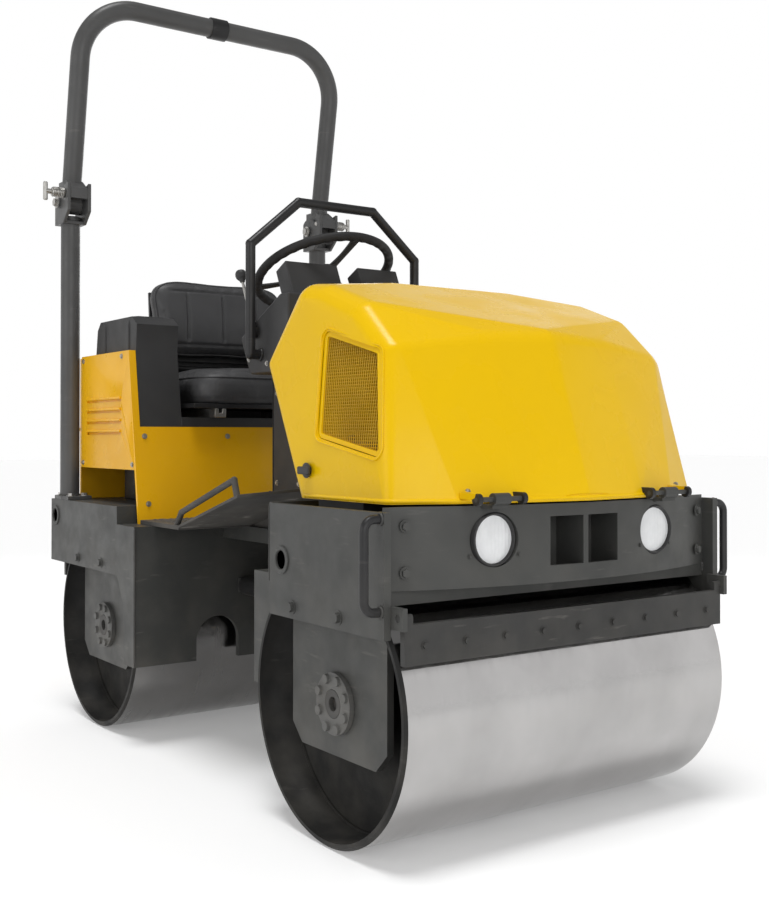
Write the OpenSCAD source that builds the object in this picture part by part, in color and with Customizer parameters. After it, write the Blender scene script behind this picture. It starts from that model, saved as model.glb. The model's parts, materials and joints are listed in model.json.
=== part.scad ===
// Tandem roller: articulated frame, two smooth steel drums, folding roll bar.
// X points forward, Y to the operator's left and Z up. The origin lies on the ground,
// midway between the two axles.

/* [Drums] */
// Outside diameter of each drum
drum_d = 580; // [570:2:590]
// Width of each drum
drum_w = 900; // [880:4:920]
// Distance between the two axles
wheelbase = 1272; // [1264:2:1300]
// Thickness of the drum shell
shell_t = 14; // [10:1:18]
// Depth of the recess at each end of a drum
drum_recess = 90; // [86:1:96]
// Thickness of the drum end plates
drum_end_t = 14; // [8:1:20]

/* [Frames] */
// Gap between a drum's end and the fork plate outside it
fork_gap = 8; // [5:1:14]
// Thickness of the fork plates
fork_t = 16; // [12:1:18]
// Height of the lower edge of the fork plates
fork_low_z = 459; // [455:1:463]
// Height of the upper edge of the front fork plates
front_fork_top = 700; // [690:1:706]
// Height of the upper edge of the rear fork plates
rear_fork_top = 650; // [640:1:660]
// Width of the arm that hangs in the drum's recess
arm_w = 365; // [340:1:372]
// Lowest point of the hanging arms
arm_low_z = 180; // [170:1:200]
// Distance from the articulation to the rear frame's front wall
wall_x = 302; // [296:1:306]
// Lower edge of the rear frame's front wall
wall_low_z = 220; // [200:2:240]
// Largest steering angle to each side
steer_max = 30; // [20:1:32]
// Height of the rocking shaft
rock_z = 390; // [385:1:395]

/* [Hood] */
// Half the width of the hood at its lower edge
hood_half_w = 434; // [428:1:440]
// Height of the hood's lower edge
hood_low_z = 712; // [710:1:716]
// Height of the hood's highest point
hood_top_z = 1200; // [1180:2:1210]
// Distance from the articulation to the hood's foremost point
hood_front_x = 955; // [945:1:960]
// Distance from the articulation to the hood's rearmost point
hood_rear_x = 343; // [336:1:360]
// Thickness of the hood's shell
hood_t = 4; // [3:0.5:6]

/* [Bumper] */
// Distance from the articulation to the bumper's foremost point
bumper_front_x = 940; // [934:1:942]
// How far the bumper's ends lie behind its middle
bumper_bow = 71; // [60:1:80]
// Lower edge of the bumper
bumper_low_z = 547; // [535:1:560]
// Distance of each headlight from the middle
lamp_y = 229; // [215:1:245]
// Radius of the headlight lenses
lamp_r = 54; // [46:1:56]

/* [Roll bar] */
// Outside diameter of the roll bar tube
rops_d = 58; // [54:1:60]
// Wall of the roll bar tube
rops_wall = 5; // [4:0.5:8]
// Distance of each post from the middle
rops_y = 447; // [443:1:449]
// Distance of the posts behind the articulation
rops_x = 874; // [868:1:880]
// Height of the folding joint's pivot
fold_z = 1567; // [1540:1:1590]
// Height of the top bar's centre line
rops_top_z = 2171; // [2120:1:2200]
// How far the hoop leans forward at its top
rops_lean = 109; // [80:1:130]
// Bending radius of the hoop's corners
rops_bend_r = 170; // [140:5:190]
// How far the lock pins' handles stand out from the posts
lock_reach = 103; // [95:1:105]

/* [Platform and body] */
// Height of the platform's floor
floor_z = 612; // [609:1:616]
// How far the floor plate's edges stand in from the body's sides
floor_in = 2; // [0:0.5:10]
// Front panel of the rear body, behind the articulation
panel_x = 398; // [392:1:404]
// Half the width of the rear body
body_half_w = 422; // [416:1:424]
// Height of the seat box
seat_box_z = 872; // [862:1:880]
// Height of the rear body's side wings
wing_z = 1090; // [1070:2:1100]
// Height of the water tank's shoulders
tank_top_z = 1190; // [1170:2:1200]

/* [Seat] */
// Half the width of the seat cushion
seat_half_w = 240; // [225:1:246]
// Depth of the seat cushion
seat_l = 360; // [340:2:370]
// Height of the cushion's front edge
seat_z = 1036; // [1030:1:1042]
// Highest point of the backrest
back_top_z = 1345; // [1320:1:1360]

/* [Console] */
// Half the distance between the guard's legs
guard_half_w = 265; // [258:1:275]
// Distance of the guard behind the articulation
guard_x = 35; // [28:1:40]
// Height of the guard's top bar
guard_top_z = 1475; // [1455:1:1490]
// Outside diameter of the guard's tube
guard_d = 26; // [22:1:28]
// Outside diameter of the steering wheel
wheel_d = 400; // [370:2:410]

/* [Hidden] */
$fn = 64;

// Colours
YELLOW = [0.93, 0.73, 0.04];
GREY = [0.34, 0.34, 0.33];
DARK = [0.16, 0.16, 0.16];
BLACK = [0.08, 0.08, 0.09];
STEEL = [0.62, 0.61, 0.60];
BRIGHT = [0.75, 0.75, 0.76];
RED = [0.75, 0.08, 0.06];
LENS = [0.95, 0.95, 0.92];

// Clearances and overruns
eps = 1;              // overrun of cuts
run_fit = 0.05;       // radial clearance of shafts and pins in their bores
slide_gap = 0.5;      // gap beside pieces that slide or fold
seat_gap = 0.3;       // gap between soft or curved pieces and their seats
face_gap = 0.1;       // gap under pieces that stand on a sloping face
round_fn = 32;        // facets of the balls that shape rounded bodies

// Drums
drum_r = drum_d / 2;
axle_x = wheelbase / 2;
drum_half = drum_w / 2;
floor_half_w = body_half_w - floor_in;
end_y = drum_half - drum_recess;   // outer face of the drum's end plates
rim_bevel = 6;                     // bevel at the drum's rims
hub_r = 30;
hub_flange_r = 62;
hub_flange_t = 10;
hub_bore_r = 15;
exciter_r = hub_bore_r - run_fit;
exciter_weight_r = 70;
exciter_weight_w = 60;
exciter_mid_r = 24;
bolt_r = 6;
bolt_head_r = 10;
bolt_head_h = 7;

// Fork plates and hanging arms
fork_y = drum_half + fork_gap;         // inner face of the fork plates
fork_out = fork_y + fork_t;
arm_t = 16;
arm_inset = 48;                        // how far the hanging arms lie inside the drum's ends
arm_y = drum_half - arm_inset;         // inner face of the hanging arms
arm_out = arm_y + arm_t;
shelf_t = 16;
arm_bevel = 40;
front_fork_back = 449;                 // rear edge of the front fork plates
front_fork_nose = 889;                 // front edge of the front fork plates
knuckle_r = 12;                        // radius of the hood's hinge knuckles
hinge_back = 5;                        // how far the hinge lies behind the hood's foremost point
hinge_x = hood_front_x - hinge_back;
rear_fork_tail = hinge_x + knuckle_r;  // rear edge of the rear fork plates
tail_top = 530;                        // top of the front frame's low tail
cross_x = 240;                         // rear face of the front crossmember
cross_t = 84;
cross_low_z = 268;
cross_half = 400;      // half the width of the front crossmember
cross_gap = 22;        // clearance between the crossmember and the drum
house_r = 65;
house_t = 12;
deck_z = 632;
deck_t = 12;
wall_t = 16;

// Articulation
pin_r = 20;
lug_r = 62;
lug_t = 26;
lug_top = 506;
lug_low = 276;
knuckle_gap = 1.5;
yoke_r = 48;
rock_r = 32;
rock_end = 340;        // front end of the rocking shaft
rock_washer_r = 50;
steer_arm_r = 150;     // distance of the steering arm's pin from the articulation
steer_arm_t = 20;
steer_pin_r = 11;
cyl_z = 421;
cyl_r = 27;
cyl_bore_r = 20;
cyl_back = 290;        // rear end of the cylinder, behind the articulation
cyl_front = 108;
cyl_wall = 8;
rod_r = 12;
eye_r = 26;
eye_t = 24;
piston_t = 12;
steer_drop = steer_arm_r * (1 - cos(steer_max)) / 2;
rod_y = steer_arm_r - steer_drop;

// Unit modules shared by the sub-parts
module both_sides() {
  children();
  mirror([0, 1, 0]) children();
}

module bar_y(r, y0, y1) {
  translate([0, y0, 0]) rotate([-90, 0, 0]) cylinder(r = r, h = y1 - y0);
}

module block(x0, x1, y0, y1, z0, z1) {
  translate([x0, y0, z0]) cube([x1 - x0, y1 - y0, z1 - z0]);
}

// Plate whose outline is given as X and Z, from y0 to y1
module plate_xz(outline, y0, y1) {
  translate([0, y1, 0]) rotate([90, 0, 0]) linear_extrude(y1 - y0) polygon(outline);
}

// Plate whose outline is given as X and Y, from z0 to z1
module plate_xy(outline, z0, z1) {
  translate([0, 0, z0]) linear_extrude(z1 - z0) polygon(outline);
}

// Rounded body through balls given as [x, y, z, radius], mirrored to both sides
module ball_hull(balls, skin = 0) {
  hull() {
    for (b = balls, s = [-1, 1]) {
      translate([b[0], s * b[1], b[2]]) sphere(r = b[3] - skin, $fn = round_fn);
    }
  }
}

// Tube through a list of points, with slightly larger balls at its corners
ball_share = 1.04;
module tube_path(points, r) {
  for (i = [0 : len(points) - 2]) {
    d = points[i + 1] - points[i];
    l = norm(d);
    translate(points[i])
      rotate([0, acos(d[2] / l), atan2(d[1], d[0])]) cylinder(r = r, h = l);
  }
  for (i = [1 : len(points) - 2]) {
    translate(points[i]) sphere(r = ball_share * r);
  }
}

// Ring of bolt heads that stand on a face, round the Y axis
module bolt_ring_y(pitch_r, count, y0) {
  for (i = [0 : count - 1]) {
    a = 360 * (i + 0.5) / count;
    translate([pitch_r * cos(a), y0, pitch_r * sin(a)]) bar_y(bolt_head_r, 0, bolt_head_h);
  }
}

// Cushion lofted from rings: a rounded rectangle with drawn-in sides, a crown and sewn channels.
// Its flat base lies at z = 0. The shares give each ring's height and width.
ring_high_shares = [0, 0.12, 0.35, 0.6, 0.8, 0.93, 1.0, 1.0, 1.0];
ring_wide_shares = [0.94, 0.985, 1.0, 0.995, 0.965, 0.9, 0.76, 0.5, 0.24];
cushion_sides = 56;
function squircle(a) = pow(pow(abs(cos(a)), 5) + pow(abs(sin(a)), 5), -0.2);
function draw_in(a, pinch) = 1 - pinch * pow(cos(2 * a), 2);
function cushion_ring(k, l, w, h, crown, pinch, dip) = [
  for (i = [0 : cushion_sides - 1])
    let (
      a = 360 * i / cushion_sides,
      s = squircle(a) * draw_in(a, pinch) * ring_wide_shares[k],
      x = s * cos(a),
      y = s * sin(a),
      rise = ring_high_shares[k] * h + (k > 4 ? crown * (1 - pow(min(1, norm([x, y])), 2)) : 0),
      sewn = k > 5 ? dip * (1 - min(1, abs(abs(y) - 0.5) / 0.16)) : 0
    )
    [x * l / 2, y * w / 2, rise - sewn]
];
module cushion(l, w, h, crown, pinch, dip) {
  rings = len(ring_high_shares);
  n = cushion_sides;
  skin = [for (k = [0 : rings - 1]) each cushion_ring(k, l, w, h, crown, pinch, dip)];
  points = concat(skin, [[0, 0, 0], [0, 0, h + crown]]);
  sides = [
    for (k = [0 : rings - 2], i = [0 : n - 1])
      let (a = k * n + i, b = k * n + (i + 1) % n)
      each [[a, a + n, b], [b, a + n, b + n]]
  ];
  low = [for (i = [0 : n - 1]) [i, (i + 1) % n, rings * n]];
  top = [for (i = [0 : n - 1]) [(rings - 1) * n + i, rings * n + 1, (rings - 1) * n + (i + 1) % n]];
  polyhedron(points, concat(sides, low, top));
}

// Drums, hubs, bearings and motors
module drum() {
  difference() {
    union() {
      rotate([90, 0, 0]) rotate_extrude($fn = 180) polygon([
        [drum_r - shell_t, -drum_half], [drum_r - rim_bevel, -drum_half],
        [drum_r, -drum_half + rim_bevel], [drum_r, drum_half - rim_bevel],
        [drum_r - rim_bevel, drum_half], [drum_r - shell_t, drum_half]
      ]);
      both_sides() bar_y(drum_r - shell_t / 2, end_y - drum_end_t, end_y);
    }
    bar_y(hub_r + slide_gap, -end_y - eps, end_y + eps);
  }
}

module at_axle(side) {
  translate([side * axle_x, 0, drum_r]) children();
}

module drum_hubs(bore_r) {
  stub_end = arm_out + house_t;
  both_sides() difference() {
    union() {
      bar_y(hub_r, end_y - drum_end_t, stub_end);
      bar_y(hub_flange_r, end_y, end_y + hub_flange_t);
      translate([0, end_y + hub_flange_t, 0]) bolt_ring_y(hub_flange_r - bolt_head_r - rim_bevel, 8, 0);
    }
    bar_y(bore_r, end_y - drum_end_t - eps, stub_end + eps);
  }
}

// Flanged bearing housing on the right arm's outer face
module bearing_housing() {
  mirror([0, 1, 0]) difference() {
    union() {
      bar_y(house_r, arm_out, arm_out + house_t);
      bar_y(hub_r + bolt_r, arm_y, arm_out + house_t);
      translate([0, arm_out + house_t, 0]) bolt_ring_y((house_r + hub_r) / 2 + bolt_r, 8, 0);
    }
    bar_y(hub_r + run_fit, arm_y - eps, arm_out + house_t + eps);
  }
}

// Ring motor on the left arm's outer face, round the end of the hub
motor_r = 72;
motor_l = 46;
port_r = 13;
port_l = 16;
module ring_motor() {
  difference() {
    union() {
      bar_y(motor_r, arm_out, arm_out + motor_l);
      bar_y(hub_r + bolt_r, arm_y, arm_out + eps);
      for (s = [-1, 1]) {
        translate([s * motor_r / 2, arm_out + motor_l / 2, motor_r / 2])
          cylinder(r = port_r, h = motor_r / 2 + port_l);
      }
    }
    bar_y(hub_r + run_fit, arm_y - eps, arm_out + house_t + slide_gap);
    bar_y(hub_bore_r + slide_gap, arm_y, arm_out + motor_l + eps);
  }
}

// Hanging arm: a plate inside the drum's recess and the shelf that carries it
module hanging_arm() {
  half = arm_w / 2;
  low = arm_low_z - drum_r;
  top = fork_low_z + shelf_t - drum_r;
  difference() {
    union() {
      plate_xz([
        [-half, low + arm_bevel], [-half + arm_bevel, low], [half - arm_bevel, low],
        [half, low + arm_bevel], [half, top], [-half, top]
      ], arm_y, arm_out);
      block(-half, half, arm_y, fork_out, top - shelf_t, top);
    }
    bar_y(hub_r + bolt_r + slide_gap, arm_y - eps, arm_out + eps);
  }
}

// Low part of a rear fork plate that wraps the drum towards the articulation
module drum_cheek() {
  difference() {
    block(-step_x, -wall_x, fork_y, fork_out, wall_low_z, fork_low_z + eps);
    at_axle(-1) bar_y(drum_r - shell_t - rim_bevel, fork_y - eps, fork_out + eps);
  }
}

// Box beam with the rocking bush, and the webs that join it to the front frame round the drum
module crossmember() {
  difference() {
    union() {
      block(cross_x, cross_x + cross_t, -cross_half, cross_half, cross_low_z, tail_top);
      both_sides() block(cross_x + cross_t - eps, bulk_x + eps, cross_half - arm_t, cross_half,
                         cross_low_z, tail_top);
      block(cross_x + cross_t - eps, bulk_x + eps, -cross_half, cross_half, lid_z, tail_top);
    }
    block(cross_x + arm_t, cross_x + cross_t - arm_t, -cross_half + arm_t, cross_half - arm_t,
          cross_low_z - eps, tail_top - deck_t);
    at_axle(1) bar_y(drum_r + cross_gap, -cross_half - eps, cross_half + eps);
  }
  translate([cross_x, 0, rock_z]) rotate([0, 90, 0]) cylinder(r = rock_washer_r, h = cross_t);
}

// Front frame: fork plates, crossmember with the rocking bush, deck and bulkheads
front_wall_x = 845;
bulk_x = 420;
lid_z = 518;
beam_x = 905;           // back face of the front scraper bar
beam_t = 14;
beam_low = 412;
beam_top = 490;
beam_pivot_z = 503;
scraper_lug_t = 10;
scraper_pin_r = 8;
foot_h = 20;
module front_frame() {
  color(GREY) difference() {
    union() {
      both_sides() {
        plate_xz([
          [front_fork_back, fork_low_z], [front_fork_nose, fork_low_z],
          [front_fork_nose, front_fork_top], [front_fork_back, front_fork_top]
        ], fork_y, fork_out);
        at_axle(1) hanging_arm();
        scraper_bracket(front_fork_nose);
      }
      crossmember();
      block(bulk_x, bulk_x + deck_t, -fork_y - eps, fork_y + eps, lid_z, front_fork_top);
      block(bulk_x, front_wall_x + eps, -fork_y - eps, fork_y + eps, deck_z, deck_z + deck_t);
      block(front_wall_x, front_wall_x + deck_t, -fork_y - eps, fork_y + eps, lid_z, front_fork_top);
    }
    translate([cross_x - eps, 0, rock_z]) rotate([0, 90, 0])
      cylinder(r = rock_r + run_fit, h = cross_t + 2 * eps);
    tie_holes(front_tie_x, front_tie_z);
  }
}

// Tie-down holes through the fork plates
tie_r = 20;
front_tie_x = 500;
front_tie_z = 580;
rear_tie_x = -920;
rear_tie_z = 600;
module tie_holes(x, z) {
  both_sides() translate([x, 0, z]) bar_y(tie_r, fork_y - eps, fork_out + eps);
}

// Ears that carry a scraper bar's pivots, drawn for the front
module scraper_bracket(nose) {
  difference() {
    block(nose - scraper_lug_t, beam_x + beam_t + scraper_lug_t, fork_y - scraper_lug_t, fork_y + eps,
          beam_top - scraper_lug_t, beam_pivot_z + foot_h);
    translate([beam_x + beam_t / 2, 0, beam_pivot_z])
      bar_y(scraper_pin_r + run_fit, fork_y - scraper_lug_t - eps, fork_y + 2 * eps);
  }
}

// Scraper bar across the drum, drawn for the front
module scraper() {
  reach = fork_y - scraper_lug_t - slide_gap;
  mid_x = beam_x + beam_t / 2;
  block(beam_x, beam_x + beam_t, -reach, reach, beam_low, beam_top);
  both_sides() {
    block(beam_x, beam_x + beam_t, reach - 2 * scraper_lug_t, reach, beam_top - eps, beam_pivot_z);
    translate([mid_x, 0, beam_pivot_z]) {
      bar_y(beam_t / 2, reach - 2 * scraper_lug_t, reach);
      bar_y(scraper_pin_r, reach - eps, fork_y - slide_gap);
    }
  }
}

// Rear frame: side plates, front wall, decks, articulation nose and floor beams
top_step = 600;
step_x = 425;
deck_low = 638;
nose_half = 62;
beam_y = 180;
beam_w = 30;
beam_h = 40;
beam_reach = 100;
arch_y = 160;
arch_w = 130;
arch_top = 340;
nose_plate_t = 12;
module rear_frame() {
  color(GREY) difference() {
    union() {
      both_sides() {
        plate_xz([
          [-rear_fork_tail, fork_low_z], [-wall_x, fork_low_z], [-wall_x, top_step],
          [-step_x, top_step], [-step_x, rear_fork_top], [-rear_fork_tail, rear_fork_top]
        ], fork_y, fork_out);
        drum_cheek();
        at_axle(-1) hanging_arm();
        mirror([1, 0, 0]) scraper_bracket(front_fork_nose);
        block(-wall_x - eps, beam_reach, beam_y, beam_y + beam_w, top_step - beam_h, top_step);
      }
      block(-wall_x - wall_t, -wall_x, -fork_y - eps, fork_y + eps, wall_low_z, top_step);
      block(-step_x, -wall_x, -fork_y - eps, fork_y + eps, top_step - wall_t, top_step);
      block(-step_x - deck_t, -step_x, -fork_y - eps, fork_y + eps, top_step - wall_t, rear_fork_top);
      block(-rear_fork_tail, -step_x, -fork_y - eps, fork_y + eps, deck_low, rear_fork_top);
      block(-rear_fork_tail, -rear_fork_tail + wall_t, -fork_y - eps, fork_y + eps, lid_z,
            rear_fork_top);
      articulation_nose();
    }
    both_sides() {
      block(-wall_x - wall_t - eps, -wall_x + eps, arch_y, arch_y + arch_w, wall_low_z - eps,
            arch_top - arch_w / 2);
      translate([-wall_x - wall_t - eps, arch_y + arch_w / 2, arch_top - arch_w / 2])
        rotate([0, 90, 0]) cylinder(r = arch_w / 2, h = wall_t + 2 * eps);
    }
    translate([0, 0, lug_low - eps]) cylinder(r = pin_r + run_fit, h = lug_top - lug_low + 2 * eps);
    tie_holes(rear_tie_x, rear_tie_z);
  }
  color(GREY) cylinder_clevis();
}

// Two lugs of the centre joint with the webs behind them
module articulation_nose() {
  for (z = [lug_low, lug_top - lug_t]) {
    block(-wall_x - eps, 0, -nose_half, nose_half, z, z + lug_t);
    translate([0, 0, z]) cylinder(r = lug_r, h = lug_t);
  }
  both_sides() block(-wall_x - eps, -lug_r - yoke_r, nose_half - nose_plate_t, nose_half, lug_low,
                     lug_top);
}

// Bracket on the front wall that holds the steering cylinder's rear end
module cylinder_clevis() {
  block(-wall_x, -cyl_back, -rod_y - cyl_bore_r, -rod_y + cyl_bore_r, cyl_z - cyl_bore_r,
        cyl_z + cyl_bore_r);
}

module articulation_pin() {
  color(STEEL) {
    translate([0, 0, lug_low - bolt_head_h]) cylinder(r = pin_r, h = lug_top - lug_low + 2 * bolt_head_h);
    translate([0, 0, lug_top]) cylinder(r = pin_r + bolt_r, h = bolt_head_h);
    translate([0, 0, lug_low - bolt_head_h]) cylinder(r = pin_r + bolt_r, h = bolt_head_h);
  }
}

module articulation_yoke() {
  low = lug_low + lug_t + knuckle_gap;
  high = lug_top - lug_t - knuckle_gap;
  arm_top = cyl_z - eye_t / 2 - knuckle_gap;
  color(DARK) difference() {
    union() {
      translate([0, 0, low]) cylinder(r = yoke_r, h = high - low);
      translate([0, 0, rock_z]) rotate([0, 90, 0]) {
        cylinder(r = rock_washer_r, h = cross_x - knuckle_gap);
        cylinder(r = rock_r, h = rock_end);
        translate([0, 0, cross_x + cross_t + knuckle_gap])
          cylinder(r = rock_washer_r, h = rock_end - cross_x - cross_t - knuckle_gap);
      }
      plate_xy([
        [-yoke_r / 2, 0], [-yoke_r / 2, -steer_arm_r], [yoke_r / 2, -steer_arm_r], [yoke_r / 2, 0]
      ], arm_top - steer_arm_t, arm_top);
      translate([0, -steer_arm_r, arm_top - steer_arm_t]) {
        cylinder(r = yoke_r / 2, h = steer_arm_t);
        cylinder(r = steer_pin_r, h = steer_arm_t + eye_t + 2 * knuckle_gap);
      }
    }
    translate([0, 0, low - eps]) cylinder(r = pin_r + run_fit, h = high - low + 2 * eps);
  }
}

module steer_cylinder() {
  color(DARK) translate([-cyl_back, -rod_y, cyl_z]) rotate([0, 90, 0]) difference() {
    cylinder(r = cyl_r, h = cyl_back - cyl_front);
    translate([0, 0, cyl_wall]) cylinder(r = cyl_bore_r, h = cyl_back - cyl_front - 2 * cyl_wall);
    translate([0, 0, cyl_wall]) cylinder(r = rod_r + run_fit, h = cyl_back - cyl_front);
  }
}

// Piston, rod and the slotted eye whose play takes up the pin's sideways path
module steer_rod() {
  mid = (cyl_back + cyl_front) / 2;
  play = steer_pin_r + 2 * knuckle_gap;
  color(BRIGHT) difference() {
    union() {
      translate([-mid - piston_t / 2, -rod_y, cyl_z]) rotate([0, 90, 0]) {
        cylinder(r = cyl_bore_r - run_fit, h = piston_t);
        cylinder(r = rod_r, h = mid + piston_t / 2 - play);
      }
      for (s = [-1, 1]) {
        translate([0, -rod_y + s * steer_drop, cyl_z - eye_t / 2])
          cylinder(r = eye_r, h = eye_t);
      }
      block(-eye_r, eye_r, -rod_y - steer_drop, -rod_y + steer_drop, cyl_z - eye_t / 2,
            cyl_z + eye_t / 2);
    }
    for (s = [-1, 1]) {
      translate([0, -rod_y + s * (steer_drop + knuckle_gap), cyl_z - eye_t / 2 - eps])
        cylinder(r = play, h = eye_t + 2 * eps);
    }
    block(-play, play, -rod_y - steer_drop, -rod_y + steer_drop, cyl_z - eye_t / 2 - eps,
          cyl_z + eye_t / 2 + eps);
  }
}

// Spray bar above a drum, with nozzles
spray_r = 11;
spray_z = 610;
spray_offset = 120;
nozzle_r = 5;
nozzle_h = 18;
module spray_bar() {
  half = fork_y - seat_gap;
  translate([axle_x + spray_offset, 0, spray_z]) {
    bar_y(spray_r, -half, half);
    for (i = [-2 : 2]) {
      translate([0, i * half / 3, -spray_r - nozzle_h / 2]) cylinder(r = nozzle_r, h = nozzle_h);
    }
  }
}

// Rear body: side wings, slanted front panel, rear panel and the seat box's lid
body_low_z = 750;
body_tail = 925;
tail_l = 85;
body_back = body_tail - tail_l;
body_t = 20;
panel_t = 10;
panel_lean = 76;        // how far the front edge leans back from floor to wing top
tail_half = 396;
louvre_h = 9;
louvre_pitch = 32;
louvre_depth = 6;
louvre_x = 795;
louvre_l = 270;
louvre_low = 850;
function lean_x(z) = -(panel_x - (panel_t / 2) + panel_lean * (z - top_step) / (wing_z - top_step));
module rear_body() {
  color(YELLOW) difference() {
    union() {
      both_sides() {
        plate_xz([
          [-body_back, body_low_z], [lean_x(body_low_z), body_low_z], [lean_x(wing_z), wing_z],
          [-body_back, wing_z]
        ], body_half_w - body_t, body_half_w);
        block(-body_tail, -body_back + eps, tail_half - panel_t, tail_half, body_low_z, wing_z);
        block(-body_back, -body_back + panel_t, tail_half - panel_t, body_half_w, body_low_z, wing_z);
      }
      plate_xz([
        [lean_x(top_step) - panel_t, top_step], [lean_x(top_step), top_step],
        [lean_x(seat_box_z), seat_box_z], [lean_x(seat_box_z) - panel_t, seat_box_z]
      ], -body_half_w, body_half_w);
      block(-body_tail, lean_x(seat_box_z), -body_half_w + body_t - eps, body_half_w - body_t + eps,
            seat_box_z - panel_t, seat_box_z);
      block(-body_tail, -body_tail + panel_t, -tail_half, tail_half, rear_fork_top, wing_z);
      block(-body_tail, -tank_back - panel_t, -tail_half, tail_half, wing_z - panel_t, wing_z);
    }
    both_sides() for (i = [0 : 3]) {
      block(-louvre_x, -louvre_x + louvre_l, body_half_w - louvre_depth, body_half_w + eps,
            louvre_low + i * louvre_pitch, louvre_low + i * louvre_pitch + louvre_h);
    }
  }
}

// Water tank: two shoulders beside the seat and a wall behind it
tank_gap = 2;
tank_inset = 14;
tank_back = body_back - tank_inset;
tank_half = body_half_w - body_t - tank_gap;
well_gap = 32;
well_half = seat_half_w + well_gap;
box_back = 766;
box_front = 452;
shoulder_bevel = 24;
tank_wall_back = 22;
seat_step_z = 900;
filler_x = 610;
filler_r = 38;
neck_h = 10;
cap_h = 26;
cap_fit = 0.08;
module water_tank() {
  low = seat_box_z;
  front_low = lean_x(low) - tank_gap;
  color(BLACK) difference() {
    union() {
      both_sides() plate_xz([
        [-tank_back, low], [front_low, low], [lean_x(wing_z) - tank_gap, wing_z],
        [-box_front - shoulder_bevel / 2, tank_top_z - shoulder_bevel],
        [-box_front - 2 * shoulder_bevel, tank_top_z], [-box_back + shoulder_bevel, tank_top_z],
        [-box_back, tank_top_z - shoulder_bevel], [-box_back - shoulder_bevel / 2, wing_z],
        [-tank_back, wing_z]
      ], well_half, tank_half);
      block(-tank_back, -tank_back + tank_wall_back, -well_half - eps, well_half + eps, low, wing_z);
      block(-tank_back, front_low, -well_half - eps, well_half + eps, low, seat_step_z);
      translate([-filler_x, (well_half + tank_half) / 2, tank_top_z - eps])
        cylinder(r = filler_r, h = neck_h + eps);
    }
    translate([-filler_x, (well_half + tank_half) / 2, tank_top_z + neck_h - cap_h])
      cylinder(r = filler_r / 2 + cap_fit, h = cap_h + eps);
  }
}

module tank_cap() {
  color(BLACK) translate([-filler_x, (well_half + tank_half) / 2, tank_top_z + neck_h]) {
    difference() {
      cylinder(r = filler_r + bolt_r, h = cap_h);
      for (i = [0 : 11]) {
        rotate([0, 0, i * 30]) translate([filler_r + 1.5 * bolt_r, 0, -eps])
          cylinder(r = bolt_r, h = cap_h + 2 * eps);
      }
    }
    translate([0, 0, -cap_h / 2]) cylinder(r = filler_r / 2, h = cap_h / 2 + eps);
  }
}

// Hydraulic oil tank under the seat box
oil_gap = 26;
oil_x0 = -tank_back + oil_gap;
oil_l = 300;
oil_h = 170;
oil_half = 300;
module hydraulic_tank() {
  color(DARK) {
    block(oil_x0, oil_x0 + oil_l, -oil_half, oil_half, rear_fork_top, rear_fork_top + oil_h);
    translate([oil_x0 + oil_l / 2, 0, rear_fork_top + oil_h]) cylinder(r = filler_r, h = neck_h);
  }
}

// Platform: floor plate, sloping toe board on gussets and its edge rails
floor_t = 12;
toe_x = -140;
toe_end = 240;
toe_corner = 190;
toe_t = 8;
toe_rise_share = 0.283;
rail_r = 8;
rail_lift = 34;
rail_in = 10;
gusset_t = 10;
gusset_end = 98;
corner_w = 160;
function toe_z(x) = floor_z + toe_rise_share * (x - toe_x);
module platform_floor() {
  color(DARK) {
    block(-panel_x + panel_t, toe_x + eps, -floor_half_w, floor_half_w, top_step, floor_z);
    difference() {
      plate_xz([
        [toe_x, floor_z - toe_t], [toe_end, toe_z(toe_end) - toe_t], [toe_end, toe_z(toe_end)],
        [toe_x, floor_z]
      ], -floor_half_w, floor_half_w);
      both_sides() plate_xy([
        [toe_corner, floor_half_w + eps], [toe_end + eps, floor_half_w + eps],
        [toe_end + eps, floor_half_w - corner_w]
      ], floor_z, toe_z(toe_end) + toe_t);
    }
    both_sides() {
      plate_xz([
        [toe_x, floor_z - toe_t], [toe_x, top_step], [gusset_end, top_step],
        [gusset_end, toe_z(gusset_end) - toe_t + eps]
      ], beam_y + gusset_t, beam_y + 2 * gusset_t);
      tube_path([
        [toe_x - rail_lift, floor_half_w - rail_in, floor_z - floor_t / 2],
        [toe_x, floor_half_w - rail_in, floor_z + rail_lift],
        [toe_corner - rail_lift, floor_half_w - rail_in, toe_z(toe_corner) + rail_lift],
        [toe_corner - rail_lift / 2, floor_half_w - rail_in, toe_z(toe_corner - rail_lift / 2) - toe_t / 2]
      ], rail_r);
    }
  }
}

// Steering console with its dash, whose top face is square to the steering column
column_tilt = 25;
wheel_x = -100;
wheel_z = 1300;
column_l = 150;
console_half = 165;
dash_half = 235;
console_back = -95;
console_front = 70;
dash_low = 1010;
dash_front = 110;
dash_back = -150;
dash_face_x = 66;
column_x = wheel_x + column_l * sin(column_tilt);
column_z = wheel_z - column_l * cos(column_tilt);
shaft_r = 10;
pocket_d = 24;
function dash_z(x) = column_z + (x - column_x) * tan(column_tilt);
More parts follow.
